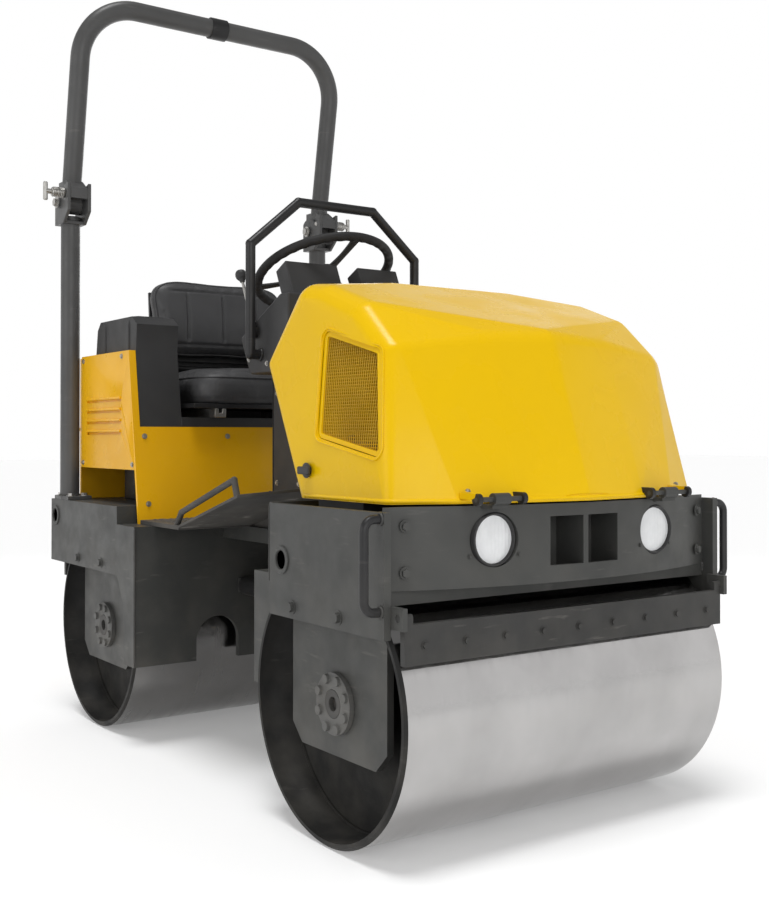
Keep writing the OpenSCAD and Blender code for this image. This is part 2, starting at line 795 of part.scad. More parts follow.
// Places on the dash's top face: u runs up the slope, v to the left and w out of the face
module on_dash(u, v) {
  translate([column_x, 0, column_z]) rotate([0, -column_tilt, 0]) translate([u, v, 0]) children();
}
button_u = -8;
button_v = 190;
key_v = 115;
stem_r = 8;
button_r = 13;
button_h = 10;
button_travel = 4;
stop_r = 19;
module steering_console() {
  color(DARK) difference() {
    union() {
      plate_xz([
        [console_back, toe_z(console_back)], [console_front, toe_z(console_front)],
        [console_front, dash_low + eps], [console_back, dash_low + eps]
      ], -console_half, console_half);
      plate_xz([
        [console_back, dash_low], [dash_front, dash_low], [dash_front, dash_z(dash_face_x)],
        [dash_face_x, dash_z(dash_face_x)], [dash_back, dash_z(dash_back)]
      ], -dash_half, dash_half);
    }
    for (v = [-button_v, button_v, key_v]) {
      on_dash(button_u, v) translate([0, 0, -pocket_d]) cylinder(r = stem_r + run_fit, h = pocket_d + eps);
    }
  }
}

// Two instrument pods at the dash's front edge, under the steering wheel
pod_u0 = 52;
pod_u1 = 108;
pod_right = -190;
pod_left = 165;
pod_slot0 = -30;
pod_slot1 = 35;
pod_under = 30;         // gap between the pods and the plane of the wheel
gauge_r = 20;
gauge_h = 5;
module instrument_panel() {
  top = column_l - rim_r - pod_under;
  color(BLACK) on_dash(0, 0) for (v = [[pod_right, pod_slot0], [pod_slot1, pod_left]]) {
    block(pod_u0, pod_u1, v[0], v[1], face_gap, top);
    for (k = [-1, 1]) {
      translate([pod_u0 - gauge_h, (v[0] + v[1]) / 2 + k * 1.3 * gauge_r, top / 2]) rotate([0, 90, 0])
        cylinder(r = gauge_r, h = gauge_h + eps);
    }
  }
}

module steering_column() {
  color(DARK) on_dash(0, 0) translate([0, 0, face_gap]) {
    cylinder(r1 = 2.4 * shaft_r, r2 = 2 * shaft_r, h = column_l - foot_h);
    cylinder(r = shaft_r, h = column_l + foot_h / 2);
  }
}

rim_r = 13;
hub_h = 30;
spoke_r = 8;
module steering_wheel() {
  color(BLACK) on_dash(0, 0) translate([0, 0, column_l]) {
    rotate_extrude($fn = 96) translate([wheel_d / 2 - rim_r, 0]) circle(r = rim_r);
    for (a = [90, 210, 330]) {
      rotate([0, 90, a]) translate([0, 0, shaft_r + slide_gap])
        cylinder(r = spoke_r, h = wheel_d / 2 - rim_r - shaft_r);
    }
    difference() {
      translate([0, 0, -foot_h + slide_gap]) cylinder(r = 3 * shaft_r, h = hub_h);
      translate([0, 0, -foot_h]) cylinder(r = shaft_r + run_fit, h = foot_h + hub_h / 2);
    }
  }
}

// Tube guard over the console, an octagon without its lower sides
guard_foot_z = 1060;
guard_knee_z = 1350;
guard_top_half = 120;
module console_guard() {
  half = [
    [-guard_x, guard_top_half, guard_top_z], [-guard_x, guard_half_w, guard_knee_z],
    [-guard_x, guard_half_w, guard_foot_z], [-guard_x, dash_half, guard_foot_z]
  ];
  other = [for (i = [3 : -1 : 0]) [half[i][0], -half[i][1], half[i][2]]];
  color(BLACK) tube_path(concat(other, half), guard_d / 2);
}

// Levers on the sides of the dash, drawn on the right and pivoting about the Y axis
lever_x = -60;
lever_z = 1120;
lever_t = 10;
lever_rod_r = 4;
lever_l = 175;
lever_lean = 25;
knob_r = 16;
boss_r = 16;
module side_lever(length, lean) {
  translate([lever_x, 0, lever_z]) mirror([0, 1, 0]) {
    bar_y(boss_r, dash_half + slide_gap, dash_half + slide_gap + lever_t);
    rotate([0, -lean, 0]) translate([0, dash_half + slide_gap + lever_t / 2, 0]) {
      cylinder(r = lever_rod_r, h = length);
      translate([0, 0, length]) sphere(r = knob_r, $fn = 48);
    }
  }
}

module travel_lever() {
  color(BLACK) side_lever(lever_l, lever_lean);
}

module throttle_lever() {
  color(BLACK) mirror([0, 1, 0]) side_lever(lever_l / 2, 0);
}

module push_button(head_r, head_h) {
  translate([0, 0, button_travel - pocket_d + 2 * eps]) cylinder(r = stem_r, h = pocket_d);
  translate([0, 0, button_travel + eps]) cylinder(r = head_r, h = head_h);
}

module emergency_stop() {
  color(RED) on_dash(button_u, -button_v) push_button(stop_r, 1.6 * button_h);
}

module vibration_button() {
  color(DARK) on_dash(button_u, button_v) push_button(button_r, button_h);
}

bow_w = 22;
bow_t = 3;
module ignition_key() {
  color(STEEL) on_dash(button_u, key_v) {
    translate([0, 0, -pocket_d / 2]) cylinder(r = stem_r, h = pocket_d / 2 + bow_t);
    block(-bow_w / 2, bow_w / 2, -bow_t / 2, bow_t / 2, bow_t - eps, bow_w);
  }
}

// Seat: rails, pan with side brackets, cushions and the backrest's frame
cushion_back = 740;
rail_h = 26;
seat_rail_y = 150;
seat_rail_w = 36;
pan_t = 14;
seat_crown = 14;
pinch = 0.035;
sewn_dip = 5;
bracket_gap = 4;
bracket_t = 8;
recline_x = 772;
recline_z = 1062;
recline_pin_r = 9;
back_t = 62;
back_low_z = 1085;
back_lean = 5;
cushion_x = -(cushion_back - seat_l / 2);
pan_z = seat_step_z + rail_h;
cushion_z = pan_z + pan_t;
module seat_rails() {
  color(STEEL) both_sides() difference() {
    block(-cushion_back, -cushion_back + seat_l - foot_h, seat_rail_y, seat_rail_y + seat_rail_w,
          seat_step_z, pan_z);
    block(-cushion_back - eps, -cushion_back + seat_l, seat_rail_y + seat_rail_w / 3,
          seat_rail_y + 2 * seat_rail_w / 3, pan_z - rail_h / 2, pan_z + eps);
  }
}

module seat_pan() {
  out = seat_half_w + bracket_gap;
  color(DARK) {
    block(-cushion_back, -cushion_back + seat_l - foot_h, -out - bracket_t, out + bracket_t,
          pan_z + seat_gap, cushion_z);
    both_sides() {
      block(-cushion_back + foot_h, -cushion_back + 3 * foot_h, seat_rail_y + seat_rail_w / 3 + slide_gap,
            seat_rail_y + 2 * seat_rail_w / 3 - slide_gap, pan_z - rail_h / 2 + slide_gap, pan_z + eps);
      difference() {
        plate_xz([
          [-cushion_back, pan_z + seat_gap], [-cushion_back + 5 * foot_h, pan_z + seat_gap],
          [-cushion_back + 4 * foot_h, cushion_z + foot_h], [-recline_x + foot_h, recline_z + foot_h],
          [-recline_x - foot_h, recline_z + foot_h], [-recline_x - foot_h, recline_z - foot_h]
        ], out, out + bracket_t);
        translate([-recline_x, 0, recline_z])
          bar_y(recline_pin_r + run_fit, out - eps, out + bracket_t + eps);
      }
    }
  }
}

module seat_cushion() {
  color(BLACK) translate([cushion_x, 0, cushion_z + seat_gap])
    cushion(seat_l, 2 * seat_half_w, seat_z - cushion_z, seat_crown, pinch, sewn_dip);
}

// The backrest's frame lies behind its cushion and leans back with it
module back_place() {
  translate([-recline_x, 0, recline_z]) rotate([0, -back_lean, 0]) children();
}
back_h = back_top_z - back_low_z;
back_face = 4;
module seat_back_frame() {
  out = seat_half_w + bracket_gap - slide_gap;
  color(DARK) back_place() {
    block(-back_face - panel_t, -back_face, -seat_half_w + foot_h, seat_half_w - foot_h,
          back_low_z - recline_z, back_h - foot_h);
    bar_y(recline_pin_r, -out - bracket_t, out + bracket_t);
    both_sides() block(-back_face - panel_t, -back_face, seat_half_w - 3 * foot_h, seat_half_w - foot_h,
                       -recline_pin_r, back_low_z - recline_z + eps);
  }
}

module seat_back_cushion() {
  color(BLACK) back_place() translate([seat_gap - back_face, 0, back_low_z - recline_z + back_h / 2])
    rotate([0, 90, 0]) cushion(back_h, 2 * seat_half_w, back_t, seat_crown, pinch, sewn_dip);
}

// Roll bar: posts with forked heads, folding hoop and its lock pins
post_foot = 60;
post_foot_t = 12;
post_foot_in = 48;
head_gap = 27;          // half the gap between a head's two cheeks
cheek_t = 10;
post_top = 1526;
head_low = 1500;
cheek_front = 78;
cheek_back = 36;
cheek_top_z = 1610;
lock_x = 50;
lock_z = 22;
lock_r = 8;
lug_half = 26.5;
lug_round = 32;
hoop_foot = 62;
fold_pin_r = 12;
pin_path_r = norm([lock_x, lock_z]);
handle_r = 7;
handle_l = 56;
module post_head() {
  difference() {
    for (y = [-head_gap - cheek_t, head_gap]) {
      plate_xz([
        [-cheek_back, head_low - fold_z], [cheek_back, head_low - fold_z],
        [cheek_front, -lug_round], [cheek_front, lock_z + lug_round],
        [cheek_back, cheek_top_z - fold_z], [-cheek_back, cheek_top_z - fold_z]
      ], y, y + cheek_t);
    }
    translate([lock_x, 0, lock_z]) bar_y(lock_r + 2 * slide_gap, -2 * rops_d, 2 * rops_d);
    rotate([0, -atan2(lock_z, lock_x), 0]) intersection() {
      difference() {
        bar_y(pin_path_r + lock_r + slide_gap, -2 * rops_d, 2 * rops_d);
        bar_y(pin_path_r - lock_r - slide_gap, -3 * rops_d, 3 * rops_d);
      }
      block(-2 * rops_d, 2 * rops_d, -2 * rops_d, 2 * rops_d, 0, 2 * rops_d);
    }
  }
  bar_y(fold_pin_r, -head_gap - cheek_t - bolt_head_h, head_gap + cheek_t + bolt_head_h);
}

module rops_posts() {
  color(GREY) both_sides() translate([-rops_x, rops_y, 0]) {
    difference() {
      union() {
        translate([0, 0, rear_fork_top]) cylinder(r = rops_d / 2, h = post_top - rear_fork_top);
        block(-cheek_back, cheek_back, -head_gap - cheek_t, head_gap + cheek_t, head_low,
              head_low + cheek_t);
        block(-post_foot, post_foot, -post_foot_in, fork_out - rops_y, rear_fork_top,
              rear_fork_top + post_foot_t);
      }
      translate([0, 0, rear_fork_top + post_foot_t + eps])
        cylinder(r = rops_d / 2 - rops_wall, h = post_top - rear_fork_top);
    }
    translate([0, 0, fold_z]) post_head();
  }
}

// The hoop in its own upright plane: its legs start at the fold pivots
hoop_h = norm([rops_top_z - fold_z, rops_lean]);
hoop_lean = atan2(rops_lean, rops_top_z - fold_z);
module hoop_tube(r) {
  straight = hoop_h - hoop_foot - rops_bend_r;
  both_sides() {
    translate([0, rops_y, hoop_foot]) cylinder(r = r, h = straight);
    translate([0, rops_y - rops_bend_r, hoop_h - rops_bend_r]) rotate([90, 0, 90])
      rotate_extrude(angle = 90) translate([rops_bend_r, 0]) circle(r = r);
  }
  translate([0, 0, hoop_h]) bar_y(r, -rops_y + rops_bend_r, rops_y - rops_bend_r);
}

module on_hoop() {
  translate([-rops_x, 0, fold_z]) children();
}

module rops_hoop() {
  color(GREY) {
    on_hoop() both_sides() translate([0, rops_y, 0]) difference() {
      union() {
        plate_xz([
          [-lug_round, 0], [lug_round, 0], [lug_round, lock_z - lock_r],
          [cheek_front - eps, lock_z - 2 * lock_r], [cheek_front - eps, lock_z + 2 * lock_r],
          [lug_round, hoop_foot + rops_wall], [-lug_round, hoop_foot + rops_wall]
        ], -lug_half, lug_half);
        bar_y(lug_round, -lug_half, lug_half);
      }
      bar_y(fold_pin_r + run_fit, -lug_half - eps, lug_half + eps);
      translate([lock_x, 0, lock_z]) bar_y(lock_r + run_fit, -lug_half - eps, lug_half + eps);
    }
    on_hoop() rotate([0, hoop_lean, 0]) difference() {
      hoop_tube(rops_d / 2);
      hoop_tube(rops_d / 2 - rops_wall);
    }
  }
}

// Clamp with a lamp socket in the middle of the top bar
socket_r = 14;
socket_bore_r = 10;
socket_h = 22;
clamp_w = 56;
clamp_t = 5;
module beacon_socket() {
  color(DARK) on_hoop() rotate([0, hoop_lean, 0]) translate([0, 0, hoop_h]) difference() {
    union() {
      bar_y(rops_d / 2 + clamp_t, -clamp_w / 2, clamp_w / 2);
      translate([-rops_d / 2 - clamp_t - socket_h, 0, 0]) rotate([0, 90, 0])
        cylinder(r = socket_r, h = socket_h + clamp_t);
    }
    bar_y(rops_d / 2 + seat_gap, -clamp_w, clamp_w);
    translate([-rops_d / 2 - clamp_t - socket_h - eps, 0, 0]) rotate([0, 90, 0])
      cylinder(r = socket_bore_r, h = socket_h + eps);
  }
}

module lock_pin() {
  on_hoop() translate([lock_x, rops_y, lock_z]) {
    bar_y(lock_r, -head_gap - cheek_t, lock_reach - handle_r);
    bar_y(lock_r + bolt_r, head_gap + cheek_t + slide_gap, head_gap + cheek_t + 2 * foot_h);
    translate([0, lock_reach - handle_r, -handle_l / 2]) cylinder(r = handle_r, h = handle_l);
  }
}

module rops_lock_pin_left() {
  color(STEEL) lock_pin();
}

module rops_lock_pin_right() {
  color(STEEL) mirror([0, 1, 0]) lock_pin();
}

// Rear lights on the rear body's tail
light_w = 90;
light_h = 60;
light_t = 18;
light_drop = 90;
light_z = wing_z - light_drop;
light_y = 330;
module rear_lights() {
  color(RED) both_sides() block(-body_tail - light_t, -body_tail, light_y - light_w / 2,
                                light_y + light_w / 2, light_z, light_z + light_h);
}

// Hood hinges: fixed knuckles on the bumper, ears on the hood
hinge_rise = 10;
hinge_z = hood_low_z + hinge_rise;
hinge_pin_r = 5;
hinge_y = 240;
hinge_half = 57;
ear_t = 10;
tongue_half = 20;
tongue_t = 3;
module fixed_hinge() {
  both_sides() translate([hinge_x, hinge_y, hinge_z]) {
    bar_y(knuckle_r, -tongue_half, tongue_half);
    bar_y(hinge_pin_r, -hinge_half - ear_t / 2, hinge_half + ear_t / 2);
    block(-2 * corner_r, 0, -tongue_half, tongue_half, bumper_top - bumper_t / 2 - hinge_z,
          bumper_top + tongue_t - hinge_z);
  }
}

// Front bumper: a bowed, hollow beam with lamp holes and a towing recess
bumper_half = 456;
bumper_t = 10;
bumper_gap = 4;
bumper_top = hood_low_z - bumper_gap;
bow_half = 424;         // where the bumper lies behind its middle by the bow
bow_r = (pow(bow_half, 2) + pow(bumper_bow, 2)) / (2 * bumper_bow);
bumper_back = front_wall_x + deck_t;
recess_half = 96;
recess_low = 582;
recess_high = 682;
recess_rib = 14;
lamp_z = 640;
lamp_depth = 46;
lamp_rim = 6;
module bow(front_x, x0, z0, z1) {
  intersection() {
    translate([front_x - bow_r, 0, z0]) cylinder(r = bow_r, h = z1 - z0, $fn = 360);
    block(x0, front_x, -bumper_half, bumper_half, z0, z1);
  }
}
lamp_x = bumper_front_x - bow_r + sqrt(pow(bow_r, 2) - pow(lamp_y, 2));
module at_lamps() {
  both_sides() translate([lamp_x, lamp_y, lamp_z]) rotate([0, 90, 0]) children();
}
module front_bumper() {
  color(GREY) difference() {
    bow(bumper_front_x, bumper_back, bumper_low_z, bumper_top);
    difference() {
      bow(bumper_front_x - bumper_t, bumper_back - eps, bumper_low_z + bumper_t, bumper_top - bumper_t);
      both_sides() block(bumper_back, bumper_front_x, recess_half, recess_half + bumper_t, bumper_low_z,
                         bumper_top);
      block(bumper_back, bumper_front_x, -recess_rib / 2, recess_rib / 2, bumper_low_z, bumper_top);
    }
    both_sides() block(bumper_front_x - 2 * lamp_depth, bumper_front_x + eps, recess_rib / 2, recess_half,
                       recess_low, recess_high);
    at_lamps() translate([0, 0, -lamp_depth]) cylinder(r = lamp_r + slide_gap, h = 2 * lamp_depth);
  }
  color(GREY) fixed_hinge();
}

module headlight_housings() {
  color(BLACK) at_lamps() difference() {
    translate([0, 0, -lamp_depth]) cylinder(r = lamp_r, h = lamp_depth);
    translate([0, 0, -lamp_depth + lamp_rim]) cylinder(r = lamp_r - lamp_rim, h = lamp_depth);
  }
}

lens_t = 8;
module headlight_lenses() {
  color(LENS) at_lamps() translate([0, 0, -lens_t]) cylinder(r = lamp_r - lamp_rim, h = lens_t);
}

// Bent bars on the noses of the front fork plates
loop_y = 511;
loop_x = 876;
loop_low = 512;
loop_high = 688;
loop_r = 9;
loop_bend = 22;
module tie_down_loops() {
  mid = (loop_low + loop_high) / 2;
  half = (loop_high - loop_low) / 2;
  color(DARK) both_sides() translate([loop_x, 0, mid]) {
    translate([0, loop_y, -half + loop_bend]) cylinder(r = loop_r, h = 2 * (half - loop_bend));
    for (s = [0, 1]) mirror([0, 0, s]) {
      translate([0, 0, half]) bar_y(loop_r, fork_out, loop_y - loop_bend);
      translate([0, loop_y - loop_bend, half - loop_bend]) rotate([90, 0, 90])
        rotate_extrude(angle = 90) translate([loop_bend, 0]) circle(r = loop_r);
    }
  }
}

// Engine bay
deck_top = deck_z + deck_t;
engine_x0 = 562;
engine_x1 = 765;
engine_half = 130;
engine_top = 860;
head_top = 940;
head_half = 90;
fin_t = 5;
fin_pitch = 15;
fin_out = 14;
mount_r = 22;
mount_h = 20;
flywheel_r = 95;
flywheel_t = 22;
crank_z = 780;
pulley_r = 62;
pulley_t = 16;
module engine_block() {
  color(DARK) {
    for (x = [engine_x0 + mount_r, engine_x1 - mount_r], s = [-1, 1]) {
      translate([x, s * (engine_half - mount_r), deck_top]) cylinder(r = mount_r, h = mount_h + eps);
    }
    block(engine_x0, engine_x1, -engine_half, engine_half, deck_top + mount_h, engine_top);
    block(engine_x0 + mount_r, engine_x1 - mount_r, -head_half, head_half, engine_top - eps, head_top);
    for (i = [0 : 3]) {
      fin_z = engine_top + (i + 0.5) * fin_pitch;
      block(engine_x0 + mount_r - fin_out / 2, engine_x1 - mount_r + fin_out / 2, -head_half - fin_out,
            head_half + fin_out, fin_z, fin_z + fin_t);
    }
    translate([engine_x0 - flywheel_t, 0, crank_z]) rotate([0, 90, 0])
      cylinder(r = flywheel_r, h = flywheel_t + eps);
    translate([engine_x1 - eps, 0, crank_z]) rotate([0, 90, 0]) cylinder(r = pulley_r, h = pulley_t);
  }
}

pump_x0 = 520;
pump_r = 36;
pump_flange = 52;
pump_flange_t = 10;
module hydraulic_pump() {
  color(STEEL) translate([0, 0, crank_z]) rotate([0, 90, 0]) {
    translate([0, 0, pump_x0]) cylinder(r = pump_r, h = engine_x0 - flywheel_t - pump_x0);
    translate([0, 0, engine_x0 - flywheel_t - pump_flange_t]) cylinder(r = pump_flange, h = pump_flange_t);
  }
}

cooler_x0 = 792;
cooler_t = 40;
cooler_half = 190;
cooler_top = 930;
cooler_tank = 30;
module cooler() {
  color(BLACK) difference() {
    block(cooler_x0, cooler_x0 + cooler_t, -cooler_half, cooler_half, deck_top, cooler_top);
    for (i = [0 : 6]) {
      translate([cooler_x0, 0, deck_top + cooler_tank + i * cooler_tank])
        block(-eps, cooler_t / 4, -cooler_half + cooler_tank, cooler_half - cooler_tank, 0, cooler_tank / 2);
    }
  }
}

exhaust_r = 40;
exhaust_y = 75;
exhaust_z = 985;
exhaust_x0 = 635;
exhaust_x1 = 760;
saddle_t = 24;
module canister(r, y) {
  translate([exhaust_x0, y, exhaust_z]) rotate([0, 90, 0]) cylinder(r = r, h = exhaust_x1 - exhaust_x0);
  translate([(exhaust_x0 + exhaust_x1 - saddle_t) / 2, y, 0])
    block(0, saddle_t, -r / 2, r / 2, head_top, exhaust_z);
}

module muffler() {
  color(STEEL) {
    canister(exhaust_r, exhaust_y);
    translate([exhaust_x1 - eps, exhaust_y, exhaust_z]) rotate([0, 90, 0])
      cylinder(r = port_r, h = 2 * saddle_t);
  }
}

module air_filter() {
  color(BLACK) {
    canister(exhaust_r, -exhaust_y);
    translate([exhaust_x1 - eps, -exhaust_y, exhaust_z]) rotate([0, 90, 0])
      cylinder(r = exhaust_r / 2, h = saddle_t);
  }
}

side_x0 = 530;
side_x1 = 770;
side_y0 = 190;
side_y1 = 400;
side_top = 850;
side_bevel = 30;
module fuel_tank() {
  color(BLACK) {
    plate_xz([
      [side_x0, deck_top], [side_x1, deck_top], [side_x1, side_top - side_bevel],
      [side_x1 - side_bevel, side_top], [side_x0, side_top]
    ], side_y0, side_y1);
    translate([(side_x0 + side_x1) / 2, (side_y0 + side_y1) / 2, side_top - eps])
      cylinder(r = filler_r, h = cap_h);
  }
}

battery_l = 175;
battery_h = 190;
terminal_r = 8;
terminal_h = 14;
module battery() {
  color(BLACK) {
    block(side_x0, side_x0 + battery_l, -side_y1, -side_y0, deck_top, deck_top + battery_h);
    for (y = [-side_y1 + 2 * terminal_h, -side_y0 - 2 * terminal_h]) {
      translate([side_x0 + battery_l / 2, y, deck_top + battery_h - eps])
        cylinder(r = terminal_r, h = terminal_h + eps);
    }
  }
}

// Vibration drive inside the front drum
module exciter_motor() {
  color(DARK) at_axle(1) difference() {
    bar_y(2 * port_r + bolt_head_h, arm_out + motor_l, arm_out + 2 * motor_l);
    bar_y(hub_bore_r + run_fit, arm_out + motor_l - eps, arm_out + 1.5 * motor_l);
  }
}

module exciter_shaft() {
  color(STEEL) at_axle(1) {
    bar_y(exciter_r, -arm_out, arm_out + 1.5 * motor_l - eps);
    bar_y(exciter_mid_r, -end_y + drum_end_t + foot_h, end_y - drum_end_t - foot_h);
    both_sides() difference() {
      bar_y(exciter_weight_r, end_y / 3, end_y / 3 + exciter_weight_w);
      block(-exciter_weight_r, exciter_weight_r, end_y / 3 - eps, end_y / 3 + exciter_weight_w + eps,
            exciter_mid_r, exciter_weight_r);
    }
  }
}

// Hood: rounded shell, open below, with side openings, hinge ears and a latch hole.
// Each ball is given as shares of the hood's length, half width and height, and a radius.
corner_r = 26;
shoulder_r = 50;
brow_r = 54;
hood_ball_shares = [
  [0.258, 1.0, 0, corner_r], [0.83, 1.0, 0, corner_r], [0.91, 0.75, 0, corner_r],
  [0.966, 0.46, 0, corner_r], [1.0, 0, 0, corner_r], [0, 0.985, 0.605, corner_r],
  [0.135, 0.955, 0.965, shoulder_r], [0.135, 0.5, 1.0, shoulder_r], [0.39, 0.945, 0.95, shoulder_r],
  [0.6, 0.935, 0.86, brow_r], [0.745, 0.935, 0.7, brow_r], [0.8, 0.5, 0.745, brow_r],
  [0.825, 0, 0.76, brow_r]
];
hood_l = hood_front_x - hood_rear_x;
hood_h = hood_top_z - hood_low_z;
function hood_ball(b) = [
  hood_rear_x + b[0] * hood_l + (b[0] < 0.3 ? b[3] : -b[3]),
  max(0, b[1] * hood_half_w - b[3]),
  b[2] == 0 ? hood_low_z : hood_low_z + b[2] * hood_h - (b[2] > 0.65 ? b[3] : 0),
  b[3]
];
module hood_form(skin) {
  ball_hull([for (b = hood_ball_shares) hood_ball(b)], skin);
}
grille_x0 = 575;
grille_x1 = 806;
grille_lean = 40;
grille_low_rear = 842;
grille_low_front = 800;
grille_top_rear = 1072;
grille_top_front = 1020;
grille_round = 16;
module grille_window(inset) {
  both_sides() translate([0, hood_half_w + eps, 0]) rotate([90, 0, 0])
    linear_extrude(hood_half_w / 2) offset(r = grille_round - inset, $fn = 24) offset(delta = -grille_round)
      polygon([
        [grille_x0, grille_low_rear], [grille_x1, grille_low_front],
        [grille_x1 - grille_lean, grille_top_front], [grille_x0, grille_top_rear]
      ]);
}
latch_x = 545;
latch_z = 772;
latch_r = 11;
latch_depth = 30;
latch_out = 8;
latch_bar = 46;
module hood_ears(y0, y1) {
  both_sides() for (s = [-1, 1]) {
    translate([hinge_x, hinge_y + s * hinge_half, hinge_z]) {
      bar_y(knuckle_r, y0, y1);
      block(-2 * knuckle_r - corner_r, 0, y0, y1, 0, knuckle_r);
    }
  }
}
module hood() {
  color(YELLOW) difference() {
    union() {
      difference() {
        hood_form(0);
        hood_form(hood_t);
        block(0, 2 * hood_front_x, -2 * hood_half_w, 2 * hood_half_w, 0, hood_low_z);
        grille_window(0);
      }
      hood_ears(-ear_t / 2, ear_t / 2);
    }
    translate([hinge_x, 0, hinge_z]) bar_y(hinge_pin_r + run_fit, -hood_half_w, hood_half_w);
    translate([latch_x, 0, latch_z]) bar_y(latch_r + run_fit, -hood_half_w - eps, -hood_half_w / 2);
  }
}

grille_t = 3;
slot_pitch = 24;
slot_h = 15;
module hood_grilles() {
  color(BLACK) difference() {
    intersection() {
      difference() {
        hood_form(0);
        hood_form(grille_t);
      }
      grille_window(slide_gap);
    }
    both_sides() for (i = [0 : 9], s = [0, 1]) {
      x0 = s == 0 ? grille_x0 + slot_h : (grille_x0 + grille_x1 + slot_h) / 2;
      x1 = s == 0 ? (grille_x0 + grille_x1 - slot_h) / 2 : grille_x1 - slot_h;
      block(x0, x1, hood_half_w / 2, hood_half_w + eps, grille_low_rear + i * slot_pitch,
            grille_low_rear + i * slot_pitch + slot_h);
    }
  }
}

module hood_latch() {
  color(DARK) translate([latch_x, 0, latch_z]) {
    bar_y(latch_r, -hood_half_w - latch_out, -hood_half_w + latch_depth);
    block(-latch_bar / 2, latch_bar / 2, -hood_half_w - 2 * latch_out, -hood_half_w - latch_out,
          -latch_r, latch_r);
  }
}

// Draws the sub-parts
module rear_scraper() { color(GREY) mirror([1, 0, 0]) scraper(); }
module front_scraper() { color(GREY) scraper(); }
module rear_spray_bar() { color(DARK) mirror([1, 0, 0]) spray_bar(); }
module front_spray_bar() { color(DARK) spray_bar(); }
module rear_bearing_housing() { color(DARK) at_axle(-1) bearing_housing(); }
module front_bearing_housing() { color(DARK) at_axle(1) bearing_housing(); }
module rear_drive_motor() { color(DARK) at_axle(-1) ring_motor(); }
module front_drive_motor() { color(DARK) at_axle(1) ring_motor(); }
module rear_drum() { color(STEEL) at_axle(-1) drum(); }
module front_drum() { color(STEEL) at_axle(1) drum(); }
module rear_drum_hubs() { color(DARK) at_axle(-1) drum_hubs(hub_bore_r); }
module front_drum_hubs() { color(DARK) at_axle(1) drum_hubs(hub_bore_r); }

rear_frame();
rear_body();
water_tank();
tank_cap();
hydraulic_tank();
platform_floor();
steering_console();
instrument_panel();
console_guard();
steering_column();
steering_wheel();
travel_lever();
throttle_lever();
ignition_key();
emergency_stop();
vibration_button();
seat_rails();
seat_pan();
seat_cushion();
seat_back_frame();
seat_back_cushion();
rops_posts();
rops_hoop();
beacon_socket();
rops_lock_pin_right();
rops_lock_pin_left();
rear_lights();
rear_scraper();
rear_spray_bar();
rear_bearing_housing();
rear_drive_motor();
rear_drum();
rear_drum_hubs();
steer_cylinder();
steer_rod();
articulation_pin();
articulation_yoke();
front_frame();
front_bumper();
tie_down_loops();
headlight_housings();
headlight_lenses();
engine_block();
cooler();
muffler();
air_filter();
hydraulic_pump();
fuel_tank();
battery();
front_bearing_housing();
front_drive_motor();
exciter_motor();
front_spray_bar();
front_scraper();
front_drum();
front_drum_hubs();
exciter_shaft();
hood();
hood_grilles();
hood_latch();
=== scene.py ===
import json
import logging
import math
from collections.abc import Callable, Iterable, Sequence
from dataclasses import dataclass, field
from enum import Enum

import bmesh
import bpy
import numpy as np
from mathutils import Matrix, Vector
from mathutils.bvhtree import BVHTree
from mathutils.geometry import convex_hull_2d

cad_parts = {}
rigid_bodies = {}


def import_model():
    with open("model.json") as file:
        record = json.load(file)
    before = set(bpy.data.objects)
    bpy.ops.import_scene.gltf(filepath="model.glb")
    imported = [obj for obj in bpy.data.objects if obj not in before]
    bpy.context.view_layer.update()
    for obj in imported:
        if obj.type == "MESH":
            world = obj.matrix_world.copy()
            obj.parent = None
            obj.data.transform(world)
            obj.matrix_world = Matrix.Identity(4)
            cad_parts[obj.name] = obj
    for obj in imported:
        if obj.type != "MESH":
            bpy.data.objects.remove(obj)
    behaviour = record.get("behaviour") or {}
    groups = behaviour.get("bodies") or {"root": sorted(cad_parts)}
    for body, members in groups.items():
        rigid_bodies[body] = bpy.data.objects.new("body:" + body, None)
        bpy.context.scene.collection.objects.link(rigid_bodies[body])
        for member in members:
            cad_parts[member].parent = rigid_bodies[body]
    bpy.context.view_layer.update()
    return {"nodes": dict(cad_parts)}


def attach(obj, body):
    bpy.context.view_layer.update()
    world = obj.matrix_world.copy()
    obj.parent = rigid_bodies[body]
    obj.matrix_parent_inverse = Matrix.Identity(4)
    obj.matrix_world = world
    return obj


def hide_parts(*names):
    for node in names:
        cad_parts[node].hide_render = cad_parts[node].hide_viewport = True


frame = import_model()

LOG = logging.getLogger("tandem_roller")
Point = tuple[float, float, float]
Piece = bpy.types.Object
Shape = bmesh.types.BMesh
Tree = bpy.types.NodeTree
Socket = bpy.types.NodeSocket

DRUM_R = 0.290  # the drums' radius, and the height of their axles
AXLE_X = 0.636  # how far each axle lies from the middle of the machine
FINE_EDGE = 0.0012  # a rounding up to this width gets one face instead of two
SIDES = (-1.0, 1.0)  # the right side and the left
AHEAD, LEFT, UP = (1.0, 0.0, 0.0), (0.0, 1.0, 0.0), (0.0, 0.0, 1.0)


def feed(target: Socket, value: object) -> None:
    """Links a socket to a node's input, or gives the input a value.

    Args:
        target: The node's input.
        value: A socket or a plain value.
    """
    if isinstance(value, bpy.types.NodeSocket):
        target.id_data.links.new(value, target)
    else:
        target.default_value = value


